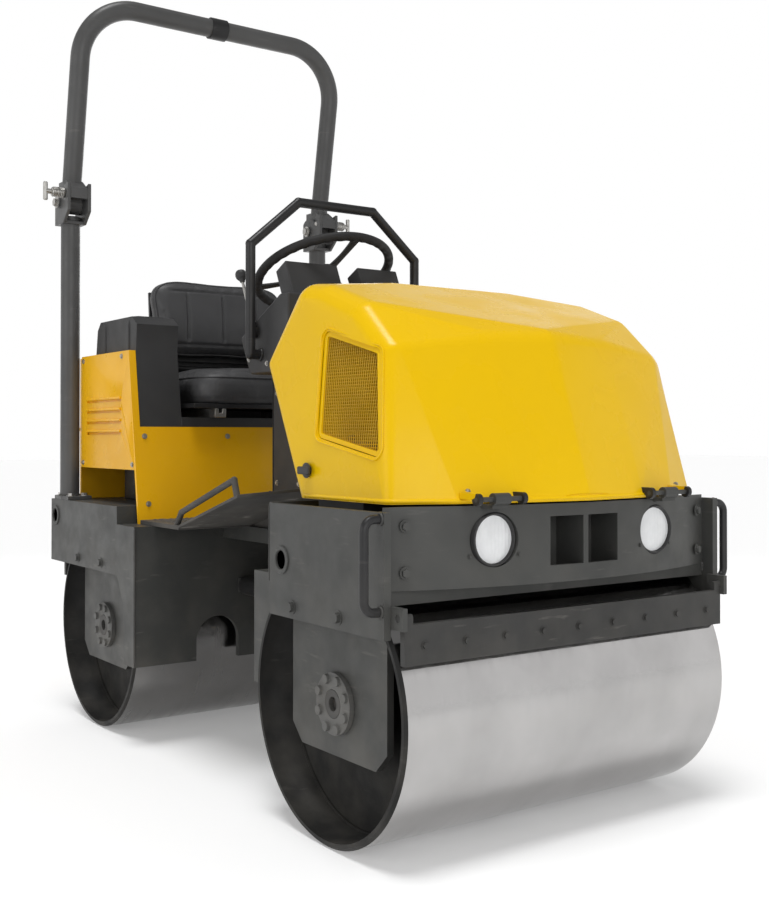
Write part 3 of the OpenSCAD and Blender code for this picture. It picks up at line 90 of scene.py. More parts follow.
def add(tree: Tree, kind: str, settings: dict[str, object] | None = None, **inputs: object) -> bpy.types.Node:
    """Adds a node to a tree.

    Args:
        tree: The tree.
        kind: The node's type.
        settings: Its properties.
        **inputs: A socket or a value for its inputs, by name with _ for a space, or by place as i0, i1 and so on.

    Returns:
        The node.
    """
    node = tree.nodes.new(kind)
    for key, value in (settings or {}).items():
        setattr(node, key, value)
    for key, value in inputs.items():
        feed(node.inputs[int(key[1:]) if key[1:].isdigit() else key.replace("_", " ")], value)
    return node


def maths(tree: Tree, operation: str, first: Socket | float, second: Socket | float) -> Socket:
    """Works out one operation on two values."""
    return add(tree, "ShaderNodeMath", {"operation": operation}, i0=first, i1=second).outputs["Value"]


def noise(tree: Tree, place: Socket, scale: float, detail: float = 4.0) -> Socket:
    """A noise value, by its scale per metre and its number of octaves."""
    return add(tree, "ShaderNodeTexNoise", Vector=place, Scale=scale, Detail=detail).outputs["Fac"]


def span(tree: Tree, value: Socket, old: tuple[float, float], new: tuple[float, float] = (0.0, 1.0)) -> Socket:
    """Maps a value from an old range to a new one, held at the ends."""
    ends = dict(zip(("From_Min", "From_Max", "To_Min", "To_Max"), (*old, *new)))
    return add(tree, "ShaderNodeMapRange", Value=value, **ends).outputs["Result"]


def blend(tree: Tree, share: Socket, first: Point | Socket, second: Point) -> Socket:
    """Mixes a colour, or the socket of one, with a share of a second colour."""
    start = (*first, 1.0) if isinstance(first, tuple) else first
    return add(tree, "ShaderNodeMix", {"data_type": "RGBA"}, Factor=share, i6=start, i7=(*second, 1.0)).outputs[2]


def stretched(tree: Tree, place: Socket, scale: Point) -> Socket:
    """Coordinates stretched by a scale for each axis."""
    return add(tree, "ShaderNodeMapping", Vector=place, Scale=scale).outputs["Vector"]


class Grain(Enum):
    """How the finest relief of a finish is laid out."""

    PEEL = "peel"
    CAST = "cast"
    HIDE = "hide"


@dataclass(frozen=True)
class Finish:
    """One surface finish: its colours, gloss, relief and how dirty it is."""

    name: str
    slot: str
    colour: Point
    shade: Point
    roughness: float = 0.45
    metallic: float = 0.0
    specular: float = 0.3
    coat: float = 0.0
    mottle_scale: float = 5.0
    grain: Grain = Grain.PEEL
    grain_scale: float = 350.0
    relief: float = 0.15
    dust: float = 0.0
    dust_top: float = 0.9
    scuff: float = 0.0
    scuff_colour: Point = (0.35, 0.33, 0.30)
    dust_colour: Point = (0.36, 0.33, 0.28)

    def material(self) -> bpy.types.Material:
        """Builds the finish once and hands out the same material after that.

        Returns:
            The node material of this finish.
        """
        label = f"{self.name}_finish"
        if label in bpy.data.materials:
            return bpy.data.materials[label]
        made = bpy.data.materials.new(label)
        made.use_nodes = True
        made.diffuse_color = (*self.colour, 1.0)
        tree = made.node_tree
        place = add(tree, "ShaderNodeTexCoord").outputs["Object"]
        for name, value in (("Metallic", self.metallic), ("Specular IOR Level", self.specular),
                            ("Coat Weight", self.coat), ("Coat Roughness", 0.08),
                            ("Base Color", self._colour(tree, place)), ("Roughness", self._gloss(tree, place)),
                            ("Normal", self._relief(tree, place))):
            feed(tree.nodes["Principled BSDF"].inputs[name], value)
        return made

    def _colour(self, tree: Tree, place: Socket) -> Socket:
        """Mottling, then scuffs, then dust that lies thicker lower down.

        Args:
            tree: The material's nodes.
            place: The coordinates that it reads.

        Returns:
            The colour for the shader.
        """
        colour = blend(tree, span(tree, noise(tree, place, self.mottle_scale), (0.35, 0.68)), self.colour, self.shade)
        if self.scuff > 0:
            marks = noise(tree, stretched(tree, place, (14.0, 14.0, 90.0)), 1.0, 6.0)
            share = maths(tree, "MULTIPLY", span(tree, marks, (0.60, 0.70), (0.0, self.scuff)),
                          span(tree, noise(tree, place, 7.0, 2.0), (0.5, 0.62)))
            colour = blend(tree, share, colour, self.scuff_colour)
        if self.dust > 0:
            height = add(tree, "ShaderNodeSeparateXYZ", i0=place).outputs["Z"]
            low = span(tree, height, (0.05, self.dust_top), (self.dust, self.dust * 0.12))
            film = span(tree, noise(tree, place, 11.0, 8.0), (0.38, 0.66), (0.15, 1.0))
            colour = blend(tree, maths(tree, "MULTIPLY", low, film), colour, self.dust_colour)
        return colour

    def _gloss(self, tree: Tree, place: Socket) -> Socket:
        """Roughness that varies a little over the surface."""
        return span(tree, noise(tree, place, self.mottle_scale * 4.0, 6.0), (0.3, 0.7),
                    (max(0.04, self.roughness - 0.07), min(1.0, self.roughness + 0.09)))

    def _relief(self, tree: Tree, place: Socket) -> Socket:
        """Makes the finest relief.

        Args:
            tree: The node tree that it is added to.
            place: The coordinates' socket.

        Returns:
            The socket of its normal.
        """
        if self.grain is Grain.HIDE:
            cells = add(tree, "ShaderNodeTexVoronoi", Vector=place, Scale=self.grain_scale)
            return self._bump(tree, cells.outputs["Distance"])
        return self._bump(tree, noise(tree, place, self.grain_scale, 9.0 if self.grain is Grain.CAST else 2.0))

    def _bump(self, tree: Tree, height: Socket, deep: float = 0.0006) -> Socket:
        """The normal of a bump that is so many metres deep."""
        return add(tree, "ShaderNodeBump", Height=height, Strength=self.relief, Distance=deep).outputs["Normal"]


@dataclass(frozen=True)
class RolledSteel(Finish):
    """Bare steel of a drum's face: fine rings of scratches round the axle and dull patches."""

    axle_x: float = AXLE_X

    def _round_axle(self, tree: Tree, place: Socket, turn: float, across: float) -> Socket:
        """Coordinates that run round the axle.

        Args:
            tree: The material's nodes.
            place: The object coordinates.
            turn: How often the pattern changes per turn.
            across: How often it changes per metre of width.

        Returns:
            The new coordinates.
        """
        parts = add(tree, "ShaderNodeSeparateXYZ", i0=place).outputs
        moved = add(tree, "ShaderNodeCombineXYZ", X=maths(tree, "SUBTRACT", parts["X"], self.axle_x),
                    Y=maths(tree, "MULTIPLY", parts["Y"], across), Z=maths(tree, "SUBTRACT", parts["Z"], DRUM_R))
        return stretched(tree, moved.outputs["Vector"], (turn, 1.0, turn))

    def _relief(self, tree: Tree, place: Socket) -> Socket:
        """The normal of the ring scratches."""
        return self._bump(tree, noise(tree, self._round_axle(tree, place, 2.5, 900.0), 1.0, 3.0), 0.0005)

    def _gloss(self, tree: Tree, place: Socket) -> Socket:
        """Polished and dull bands that run round the drum."""
        bands = noise(tree, self._round_axle(tree, place, 5.0, 60.0), 1.0, 5.0)
        return span(tree, bands, (0.3, 0.7), (self.roughness - 0.08, self.roughness + 0.12))


class Finishes:
    """Every finish of the machine, by the place where it is used."""

    FRAME = Finish("frame_grey", "frame_grey", (0.060, 0.061, 0.058), (0.047, 0.048, 0.046), 0.44,
                   grain_scale=260.0, relief=0.20, dust=0.13, dust_top=0.75, scuff=0.10)
    # Painted shade with heavier dust and scuffs: a darker copy of the frame grey for the scrapers that sit low over the
    # drums.
    SHADE = Finish("scraper_grey_shaded", "frame_grey", (0.040, 0.040, 0.039), (0.030, 0.030, 0.029), 0.50,
                   grain_scale=260.0, relief=0.25, dust=0.16, dust_top=0.60, scuff=0.18)
    ROPS = Finish("rops_grey", "rops_grey", (0.086, 0.086, 0.086), (0.074, 0.074, 0.074), 0.38,
                  grain_scale=300.0, relief=0.12, dust=0.04, dust_top=2.4, scuff=0.08)
    PANEL = Finish("panel_yellow", "yellow_steel", (0.89, 0.475, 0.008), (0.84, 0.43, 0.006), 0.30, specular=0.16,
                   coat=0.10, mottle_scale=3.0, relief=0.05, dust=0.04, dust_top=1.1)
    HOOD = Finish("hood_yellow", "hood_yellow", (0.81, 0.505, 0.002), (0.79, 0.485, 0.002), 0.27, specular=0.12,
                  coat=0.10, mottle_scale=2.2, relief=0.045, dust=0.008, dust_top=1.2)
    FLOOR = Finish("floor_paint", "floor_paint", (0.050, 0.048, 0.046), (0.070, 0.066, 0.060), 0.62,
                   grain=Grain.CAST, grain_scale=160.0, relief=0.35, dust=0.30, dust_top=0.95, scuff=0.6)
    # Painted shade with some dust: a darker copy of the hood yellow for the window mesh, which sits inside the skin.
    GRILLE_SHADED = Finish("grille_yellow_shaded", "hood_yellow", (0.62, 0.36, 0.006), (0.50, 0.28, 0.004), 0.40, specular=0.2,
                    relief=0.1, dust=0.10, dust_top=1.2)
    PAINT = Finish("black_paint", "black_paint", (0.022, 0.022, 0.023), (0.016, 0.016, 0.017), 0.36,
                   specular=0.28, relief=0.10, dust=0.08, dust_top=0.9, scuff=0.08)
    PLASTIC = Finish("black_plastic", "black_plastic", (0.034, 0.034, 0.035), (0.042, 0.042, 0.043), 0.48,
                     specular=0.28, grain=Grain.CAST, grain_scale=900.0, relief=0.22, dust=0.04, dust_top=1.4)
    RUBBER = Finish("black_rubber", "black_rubber", (0.018, 0.018, 0.019), (0.026, 0.025, 0.025), 0.62,
                    specular=0.25, grain=Grain.CAST, grain_scale=1200.0, relief=0.18, dust=0.05, dust_top=1.4)
    VINYL = Finish("seat_vinyl", "seat_vinyl", (0.062, 0.062, 0.064), (0.050, 0.050, 0.052), 0.42, specular=0.35,
                   grain=Grain.HIDE, grain_scale=620.0, relief=0.30, mottle_scale=7.0, dust=0.03, dust_top=1.5)
    THREAD = Finish("seat_thread", "seat_vinyl", (0.085, 0.085, 0.088), (0.060, 0.060, 0.062), 0.75,
                    grain=Grain.CAST, grain_scale=2500.0, relief=0.4)
    FRONT_STEEL = RolledSteel("front_drum_steel", "drum_steel", (0.49, 0.482, 0.478), (0.40, 0.393, 0.39), 0.11,
                              metallic=1.0, mottle_scale=4.5, relief=0.16, dust=0.05, dust_top=0.6)
    # Painted shade: a darker copy of the front drum's steel for the rear drum, which sits further back under the
    # machine.
    REAR_STEEL_SHADED = RolledSteel("rear_drum_steel_shaded", "drum_steel", (0.26, 0.256, 0.252), (0.20, 0.197, 0.194), 0.18,
                             metallic=1.0, mottle_scale=4.5, relief=0.16, dust=0.06, dust_top=0.6,
                             axle_x=-AXLE_X)
    # Dark paint of the drums' ends and insides, set darker than the black paint: partly the paint's own colour, partly
    # painted shade in the recessed ends.
    DRUM_END_SHADED = Finish("drum_end_paint_shaded", "dark_iron", (0.013, 0.013, 0.013), (0.009, 0.009, 0.009), 0.55,
                      specular=0.2, grain=Grain.CAST, grain_scale=120.0, relief=0.4, dust=0.10, dust_top=0.5,
                      scuff=0.06)
    ZINC = Finish("zinc_steel", "zinc_steel", (0.46, 0.45, 0.43), (0.36, 0.35, 0.33), 0.36, metallic=0.9,
                  mottle_scale=40.0, relief=0.10, dust=0.08)
    CHROME = Finish("chrome_rod", "chrome_rod", (0.72, 0.72, 0.73), (0.64, 0.64, 0.66), 0.12, metallic=1.0,
                    mottle_scale=30.0, relief=0.03)
    IRON = Finish("dark_iron", "dark_iron", (0.052, 0.052, 0.052), (0.036, 0.036, 0.037), 0.55,
                  grain=Grain.CAST, grain_scale=220.0, relief=0.5, dust=0.20, dust_top=0.9)
    HUB = Finish("hub_grey", "dark_iron", (0.120, 0.120, 0.116), (0.080, 0.080, 0.078), 0.50,
                 grain=Grain.CAST, grain_scale=220.0, relief=0.4, dust=0.20, dust_top=0.9, scuff=0.2)
    CORE = Finish("cooler_alloy", "cooler_alloy", (0.20, 0.205, 0.21), (0.13, 0.13, 0.135), 0.45, metallic=0.7,
                  mottle_scale=25.0, relief=0.2, dust=0.15, dust_top=1.2)
    RED = Finish("red_plastic", "red_plastic", (0.58, 0.012, 0.008), (0.50, 0.010, 0.008), 0.28, coat=0.3,
                 relief=0.04)
    RED_LENS = Finish("red_lens", "red_lens", (0.42, 0.008, 0.008), (0.32, 0.006, 0.006), 0.16, coat=0.6,
                      relief=0.05)
    DIAL = Finish("dial_white", "lamp_glass", (0.78, 0.78, 0.76), (0.70, 0.70, 0.68), 0.40, relief=0.05)
    GLASS = Finish("lamp_glass", "lamp_glass", (0.86, 0.87, 0.88), (0.78, 0.79, 0.80), 0.14, specular=0.5, coat=0.8,
                   mottle_scale=30.0, relief=0.06)
    WELD = Finish("weld_grey", "frame_grey", (0.056, 0.056, 0.054), (0.040, 0.040, 0.039), 0.50, grain=Grain.CAST,
                  grain_scale=500.0, relief=0.5, dust=0.15, dust_top=0.75)


def as_object(name: str, mesh: bpy.types.Mesh, finish: Finish | None = None) -> Piece:
    """Puts a mesh into the scene as an object at the origin.

    Args:
        name: The piece's name.
        mesh: Its mesh, in the machine's frame.
        finish: The finish that it gets, unless its mesh has its own.

    Returns:
        The new object.
    """
    made = bpy.data.objects.new(name, mesh)
    bpy.context.scene.collection.objects.link(made)
    if finish:
        mesh.materials.clear()
        mesh.materials.append(finish.material())
    return made


def baked(piece: Piece) -> Piece:
    """Applies all modifiers of a piece.

    Args:
        piece: The object, which is replaced.

    Returns:
        A plain mesh object of the same name at the origin.
    """
    bpy.context.view_layer.update()
    graph = bpy.context.evaluated_depsgraph_get()
    mesh = bpy.data.meshes.new_from_object(piece.evaluated_get(graph), depsgraph=graph)
    name, old = piece.name, piece.data
    bpy.data.objects.remove(piece)
    bpy.data.meshes.remove(old)
    mesh.name = name
    return as_object(name, mesh)


def smooth(piece: Piece, degrees: float = 32.0) -> Piece:
    """Shades a mesh smoothly, with sharp edges above an angle.

    Args:
        piece: The mesh piece.
        degrees: Angle from which an edge stays sharp.

    Returns:
        The same piece.
    """
    piece.data.shade_smooth()
    piece.data.set_sharp_from_angle(angle=math.radians(degrees))
    return piece


def from_bmesh(name: str, bm: Shape, finish: Finish, degrees: float = 32.0) -> Piece:
    """Turns a bmesh into a piece with smooth shading.

    Args:
        name: The piece's name.
        bm: The mesh, which is freed.
        finish: Its finish.
        degrees: The angle above which an edge stays sharp.

    Returns:
        The piece.
    """
    mesh = bpy.data.meshes.new(name)
    bm.to_mesh(mesh)
    bm.free()
    return smooth(as_object(name, mesh, finish), degrees)


def with_bevel(piece: Piece, width: float, segments: int = 2) -> Piece:
    """Rounds a piece's edges and applies the result.

    Args:
        piece: The mesh object.
        width: Width of the rounding in metres.
        segments: How many faces go round it.

    Returns:
        The rounded piece.
    """
    bevel = piece.modifiers.new("rounding", "BEVEL")
    bevel.width, bevel.segments = width, segments
    bevel.limit_method, bevel.angle_limit = "ANGLE", math.radians(34.0)
    bevel.miter_outer = "MITER_ARC"
    bevel.use_clamp_overlap = True
    piece = baked(piece)
    bm = bmesh.new()
    bm.from_mesh(piece.data)
    bmesh.ops.connect_verts_concave(bm, faces=bm.faces)
    bm.to_mesh(piece.data)
    bm.free()
    even = smooth(piece, 40.0).modifiers.new("even_shading", "WEIGHTED_NORMAL")
    even.keep_sharp, even.weight = True, 100
    return baked(piece)


def softened(node: str, finish: Finish, width: float, body: str, name: str = "") -> Piece:
    """A CAD node's copy with rounded edges, in the node's place.

    Args:
        node: The CAD node.
        finish: The copy's finish.
        width: Width of its rounded edges in metres, or 0 for none.
        body: The body that it rides on.
        name: The piece's name, or nothing for one made from the node's.

    Returns:
        The piece, which replaces the node.
    """
    bm = bmesh.new()
    bm.from_mesh(frame["nodes"][node].data)
    bmesh.ops.remove_doubles(bm, verts=bm.verts, dist=2e-6)
    bmesh.ops.dissolve_limit(bm, angle_limit=math.radians(0.4), verts=bm.verts, edges=bm.edges)
    bmesh.ops.connect_verts_concave(bm, faces=bm.faces)
    piece = from_bmesh(name or f"{node}_finished", bm, finish)
    if width > 0:
        piece = with_bevel(piece, width, 2 if width > FINE_EDGE else 1)
    return settled(piece, finish, body, node)


def settled(piece: Piece, finish: Finish, body: str, *nodes: str) -> Piece:
    """Hangs a finished piece on its body and hides the CAD nodes that it stands for.

    Args:
        piece: The piece.
        finish: Not used.
        body: The body that it rides on.
        *nodes: The CAD nodes that it replaces.

    Returns:
        The piece.
    """
    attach(piece, body)
    if nodes:
        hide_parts(*nodes)
    LOG.info("%s on %s, %d faces", piece.name, body, len(piece.data.polygons))
    return piece


def repainted(piece: Piece, finish: Finish, holds: Callable[[np.ndarray], bool]) -> None:
    """Gives some faces of a piece a second finish.

    Args:
        piece: The mesh object.
        finish: The second finish.
        holds: Says from a face's corners, one row each, whether it gets that finish.
    """
    mesh = piece.data
    mesh.materials.append(finish.material())
    places = np.array([v.co for v in mesh.vertices])
    for face in mesh.polygons:
        if holds(places[list(face.vertices)]):
            face.material_index = len(mesh.materials) - 1


def joined(name: str, pieces: Iterable[Piece]) -> Piece:
    """Joins meshes into one piece, each with the finishes that it has.

    Args:
        name: The piece's name.
        pieces: The mesh objects, which are used up.

    Returns:
        The joined piece.
    """
    bm = bmesh.new()
    finishes: list[bpy.types.Material] = []
    for piece in pieces:
        mesh = piece.data
        start = len(bm.faces)
        bm.from_mesh(mesh)
        bm.faces.ensure_lookup_table()
        finishes += [slot for slot in mesh.materials if slot not in finishes]
        places = [finishes.index(slot) for slot in mesh.materials]
        for face in bm.faces[start:]:
            face.material_index = places[face.material_index]
        bpy.data.objects.remove(piece)
        bpy.data.meshes.remove(mesh)
    mesh = bpy.data.meshes.new(name)
    bm.to_mesh(mesh)
    bm.free()
    for slot in finishes:
        mesh.materials.append(slot)
    return smooth(as_object(name, mesh), 38.0)


def skinned(bm: Shape, rings: Sequence[Sequence[bmesh.types.BMVert]], closed: bool = False) -> None:
    """Lays faces from ring to ring, with all of them facing outwards.

    Args:
        bm: The mesh that the rings' corners are in.
        rings: Rings of one length, or of a single corner where the shape ends in a point.
        closed: Whether the last ring meets the first. Otherwise the two end rings are filled.
    """
    for low, high in zip(rings, [*rings[1:], *(rings[:1] if closed else ())]):
        sides = max(len(low), len(high))
        for k in range(sides):
            n = (k + 1) % sides
            corners = dict.fromkeys((low[k % len(low)], low[n % len(low)], high[n % len(high)], high[k % len(high)]))
            if len(corners) > 2:
                bm.faces.new(list(corners))
    for ring in () if closed else (rings[0], rings[-1]):
        if len(ring) > 1:
            bm.faces.new(ring)
    bmesh.ops.recalc_face_normals(bm, faces=bm.faces)


def lathe(name: str, profile: Sequence[tuple[float, float]], origin: Point, axis: Point, finish: Finish,
          sides: int = 48, degrees: float = 32.0) -> Piece:
    """Turns a profile round an axis.

    Args:
        name: The piece's name.
        profile: Radius and height pairs, from one end to the other.
        origin: Where height 0 lies.
        axis: The direction in which the height grows.
        finish: Its finish.
        sides: How many steps go round.
        degrees: The angle above which an edge stays sharp.

    Returns:
        The piece, with its ends filled where the radius isn't 0.
    """
    bm = bmesh.new()
    angles = [math.tau * k / sides for k in range(sides)]
    skinned(bm, [[bm.verts.new((radius * math.cos(a), radius * math.sin(a), height))
                  for a in (angles if radius > 0.0 else angles[:1])] for radius, height in profile])
    bm.transform(Matrix.Translation(origin) @ Vector(axis).to_track_quat("Z", "Y").to_matrix().to_4x4())
    return from_bmesh(name, bm, finish, degrees)


def slab(low: Point, high: Point) -> Shape:
    """A box between two corners, to be rounded or cut.

    Args:
        low: Its lowest corner.
        high: Its highest corner.

    Returns:
        The box's mesh.
    """
    bm = bmesh.new()
    bmesh.ops.create_cube(bm, size=1.0)
    size = [h - l for l, h in zip(low, high)]
    middle = [(h + l) / 2 for l, h in zip(low, high)]
    bm.transform(Matrix.Translation(middle) @ Matrix.Diagonal((*size, 1.0)))
    return bm


def swept(name: str, path: Sequence[Point], radius: float, finish: Finish, closed: bool = False,
          sides: int = 12) -> Piece:
    """A round bar or bead along a path.

    Args:
        name: The piece's name.
        path: The points that it follows.
        radius: Its radius.
        finish: Its finish.
        closed: Whether it runs back to its start.
        sides: How many faces go round it.

    Returns:
        The piece.
    """
    points = [Vector(p) for p in path]
    count = len(points)
    bm = bmesh.new()
    rings = []
    side = Vector(UP)
    for i, point in enumerate(points):
        before = points[i - 1] if i > 0 or closed else point
        after = points[(i + 1) % count] if i < count - 1 or closed else point
        along = (after - before).normalized()
        side = side - along * side.dot(along)
        if side.length < 0.05:
            side = along.orthogonal()
        side.normalize()
        other = along.cross(side)
        rings.append([bm.verts.new(point + radius * (math.cos(a) * side + math.sin(a) * other))
                      for a in (math.tau * k / sides for k in range(sides))])
    skinned(bm, rings, closed)
    return from_bmesh(name, bm, finish, 50.0)


def circle(centre: Point, radius: float, axis: Point, count: int, whole: bool = False) -> list[Point]:
    """Points round a circle.

    Args:
        centre: Its middle.
        radius: Its radius.
        axis: The axis that it goes round: AHEAD, LEFT or UP.
        count: How many points it has.
        whole: Whether its last point lies on its first.

    Returns:
        The points.
    """
    first, second = [k for k in range(3) if not axis[k]]
    points = []
    for a in np.linspace(0.0, math.tau, count, endpoint=whole):
        point = list(centre)
        point[first] += radius * math.cos(a)
        point[second] += radius * math.sin(a)
        points.append(tuple(point))
    return points


class Recipe:
    """A geometry node tree that is built step by step, with named inputs."""

    def __init__(self, name: str, **sizes: float) -> None:
        """Starts a tree with an input for each size and one for the material.

        Args:
            name: The tree's name.
            sizes: Usual value of each size, by the input's name.
        """
        self.tree = bpy.data.node_groups.new(name, "GeometryNodeTree")
        kinds = {label: "Int" if isinstance(value, int) else "Float" for label, value in sizes.items()}
        self.tree.interface.new_socket(name="Geometry", in_out="OUTPUT", socket_type="NodeSocketGeometry")
        sockets = {label: self.tree.interface.new_socket(name=label, in_out="INPUT", socket_type=f"NodeSocket{kind}")
                   for label, kind in {"Geometry": "Geometry", **kinds, "Material": "Material"}.items()}
        for label, value in sizes.items():
            sockets[label].default_value = value
        self.ids = {label: socket.identifier for label, socket in sockets.items()}
        self.start = self.tree.nodes.new("NodeGroupInput")
        self.end = self.tree.nodes.new("NodeGroupOutput")

    def step(self, kind: str, settings: dict[str, object] | None = None, **inputs: object) -> bpy.types.Node:
        """Adds a node, as add does."""
        return add(self.tree, kind, settings, **inputs)

    def given(self, name: str) -> Socket:
        """The socket of a named input."""
        return self.start.outputs[name]

    def finish(self, geometry: Socket) -> "Recipe":
        """Ends the tree with real meshes and their material.

        Args:
            geometry: The socket of what was made.

        Returns:
            The recipe itself.
        """
        real = self.step("GeometryNodeRealizeInstances", Geometry=geometry)
        dressed = self.step("GeometryNodeSetMaterial", Geometry=real.outputs["Geometry"],
                            Material=self.given("Material"))
        feed(self.end.inputs["Geometry"], dressed.outputs["Geometry"])
        return self

    def run(self, name: str, mesh: bpy.types.Mesh, finish: Finish, body: str, **sizes: float) -> Piece:
        """Runs the tree on a mesh and hangs the result on a body.

        Args:
            name: The piece's name.
            mesh: The mesh that the tree starts from.
            finish: The finish of what it makes.
            body: The body that the piece rides on.
            **sizes: Its named inputs.

        Returns:
            The piece.
        """
        holder = as_object(name, mesh)
        modifier = holder.modifiers.new("recipe", "NODES")
        modifier.node_group = self.tree
        for key, value in {"Material": finish.material(), **sizes}.items():
            modifier[self.ids[key]] = value
        return settled(smooth(baked(holder), 40.0), finish, body)


def point_mesh(name: str, points: Sequence[Point], facing: Sequence[Point]) -> bpy.types.Mesh:
    """A mesh of loose points, each with the direction that it faces.

    Args:
        name: The mesh's name.
        points: Where they are.
        facing: A direction for each.

    Returns:
        The mesh, with a vector attribute called facing.
    """
    mesh = bpy.data.meshes.new(name)
    mesh.from_pydata([tuple(p) for p in points], [], [])
    layer = mesh.attributes.new("facing", "FLOAT_VECTOR", "POINT")
    layer.data.foreach_set("vector", np.array(facing, dtype=np.float32).reshape(-1))
    return mesh


def path_mesh(name: str, paths: Sequence[Sequence[Point]], closed: bool = False) -> bpy.types.Mesh:
    """A mesh of edges only, one chain for each path.

    Args:
        name: The mesh's name.
        paths: The chains of points.
        closed: Whether each chain runs back to its start.

    Returns:
        The mesh.
    """
    points: list[Point] = []
    edges: list[tuple[int, int]] = []
    for path in paths:
        start = len(points)
        points.extend(tuple(p) for p in path)
        edges.extend((start + k, start + k + 1) for k in range(len(path) - 1))
        if closed:
            edges.append((start + len(path) - 1, start))
    mesh = bpy.data.meshes.new(name)
    mesh.from_pydata(points, edges, [])
    return mesh


def fastener_recipe() -> Recipe:
    """Hexagon heads on washers, one at each point, each turned by its own seeded angle.

    Returns:
        The recipe.
    """
    made = Recipe("fasteners", Head=0.008, Height=0.006, Seed=7)
    wide, thin, half = (maths(made.tree, "MULTIPLY", made.given(name), share)
                        for name, share in (("Head", 1.45), ("Height", 0.3), ("Height", 0.55)))
    head = made.step("GeometryNodeMeshCylinder", Vertices=6, Radius=made.given("Head"), Depth=made.given("Height"))
    washer = made.step("GeometryNodeMeshCylinder", Vertices=16, Radius=wide, Depth=thin)
    lift = made.step("ShaderNodeCombineXYZ", Z=half)
    raised = made.step("GeometryNodeTransform", Geometry=head.outputs["Mesh"], Translation=lift.outputs[0])
    pair = made.step("GeometryNodeJoinGeometry")
    for part in (raised.outputs["Geometry"], washer.outputs["Mesh"]):
        feed(pair.inputs[0], part)
    facing = made.step("GeometryNodeInputNamedAttribute", {"data_type": "FLOAT_VECTOR"}, Name="facing")
    spin = made.step("FunctionNodeRandomValue", {"data_type": "FLOAT"}, Seed=made.given("Seed"), i3=math.tau)
    turn = made.step("ShaderNodeCombineXYZ", Z=spin.outputs[1])
    aligned = made.step("FunctionNodeAlignRotationToVector", {"axis": "Z"}, Vector=facing.outputs["Attribute"])
    spun = made.step("FunctionNodeRotateRotation", {"rotation_space": "LOCAL"}, Rotation=aligned.outputs[0],
                     Rotate_By=turn.outputs[0])
    placed = made.step("GeometryNodeInstanceOnPoints", Points=made.given("Geometry"),
                       Instance=pair.outputs["Geometry"], Rotation=spun.outputs[0])
    return made.finish(placed.outputs["Instances"])


def bar_recipe() -> Recipe:
    """Round bars along the edges of a mesh, such as wires, beads and ribs.

    Returns:
        The recipe.
    """
    made = Recipe("bars", Radius=0.0015, Sides=6)
    paths = made.step("GeometryNodeMeshToCurve", Mesh=made.given("Geometry"))
    ring = made.step("GeometryNodeCurvePrimitiveCircle", Resolution=made.given("Sides"), Radius=made.given("Radius"))
    bars = made.step("GeometryNodeCurveToMesh", Curve=paths.outputs["Curve"],
                     Profile_Curve=ring.outputs["Curve"], Fill_Caps=True)
    return made.finish(bars.outputs["Mesh"])


def bead_recipe() -> Recipe:
    """A row of flattened beads along the edges of a mesh: a weld's ripple or a seam's stitches.

    Returns:
        The recipe.
    """
    made = Recipe("beads", Pitch=0.004, Long=0.003, Thick=0.003)
    paths = made.step("GeometryNodeMeshToCurve", Mesh=made.given("Geometry"))
    points = made.step("GeometryNodeCurveToPoints", {"mode": "LENGTH"}, Curve=paths.outputs["Curve"],
                       Length=made.given("Pitch"))
    ball = made.step("GeometryNodeMeshIcoSphere", Radius=1.0, Subdivisions=2)
    size = made.step("ShaderNodeCombineXYZ", X=made.given("Thick"), Y=made.given("Thick"), Z=made.given("Long"))
    placed = made.step("GeometryNodeInstanceOnPoints", Points=points.outputs["Points"],
                       Instance=ball.outputs["Mesh"], Rotation=points.outputs["Rotation"], Scale=size.outputs[0])
    return made.finish(placed.outputs["Instances"])


@dataclass
class Workshop:
    """The recipes that the sub-assemblies share."""

    fasteners: Recipe = field(default_factory=fastener_recipe)
    bars: Recipe = field(default_factory=bar_recipe)
    beads: Recipe = field(default_factory=bead_recipe)

    def bolts(self, name: str, body: str, spots: Sequence[tuple[Point, Point]], head: float = 0.008,
              height: float = 0.006, finish: Finish = Finishes.ZINC) -> None:
        """Bolt heads at the given spots.

        Args:
            name: The piece's name.
            body: The body that they ride on.
            spots: Place and direction of each.
            head: Radius of a head.
            height: Height of a head.
            finish: Their finish.
        """
        mesh = point_mesh(name, [place for place, _ in spots], [facing for _, facing in spots])
        self.fasteners.run(name, mesh, finish, body, Head=head, Height=height)

    def welds(self, name: str, body: str, paths: Sequence[Sequence[Point]], thick: float = 0.0035,
              finish: Finish = Finishes.WELD) -> None:
        """Rippled weld beads along the given paths.

        Args:
            name: The piece's name.
            body: The body that they ride on.
            paths: The corners that they fill.
            thick: Half their width.
            finish: Their finish.
        """
        self.beads.run(name, path_mesh(name, paths), finish, body, Pitch=thick * 1.1, Long=thick * 1.3, Thick=thick)

    def wires(self, name: str, body: str, paths: Sequence[Sequence[Point]], radius: float, finish: Finish,
              closed: bool = False, sides: int = 6) -> None:
        """Round wires along the given paths.

        Args:
            name: The piece's name.
            body: The body that they ride on.
            paths: The points that they follow.
            radius: Their radius.
            finish: Their finish.
            closed: Whether each runs back to its start.
            sides: How many faces go round one.
        """
        self.bars.run(name, path_mesh(name, paths, closed), finish, body, Radius=radius, Sides=sides)


def both(point: Point, facing: Point) -> list[tuple[Point, Point]]:
    """A spot and its mirror image on the other side of the machine."""
    return [(point, facing), ((point[0], -point[1], point[2]), (facing[0], -facing[1], facing[2]))]


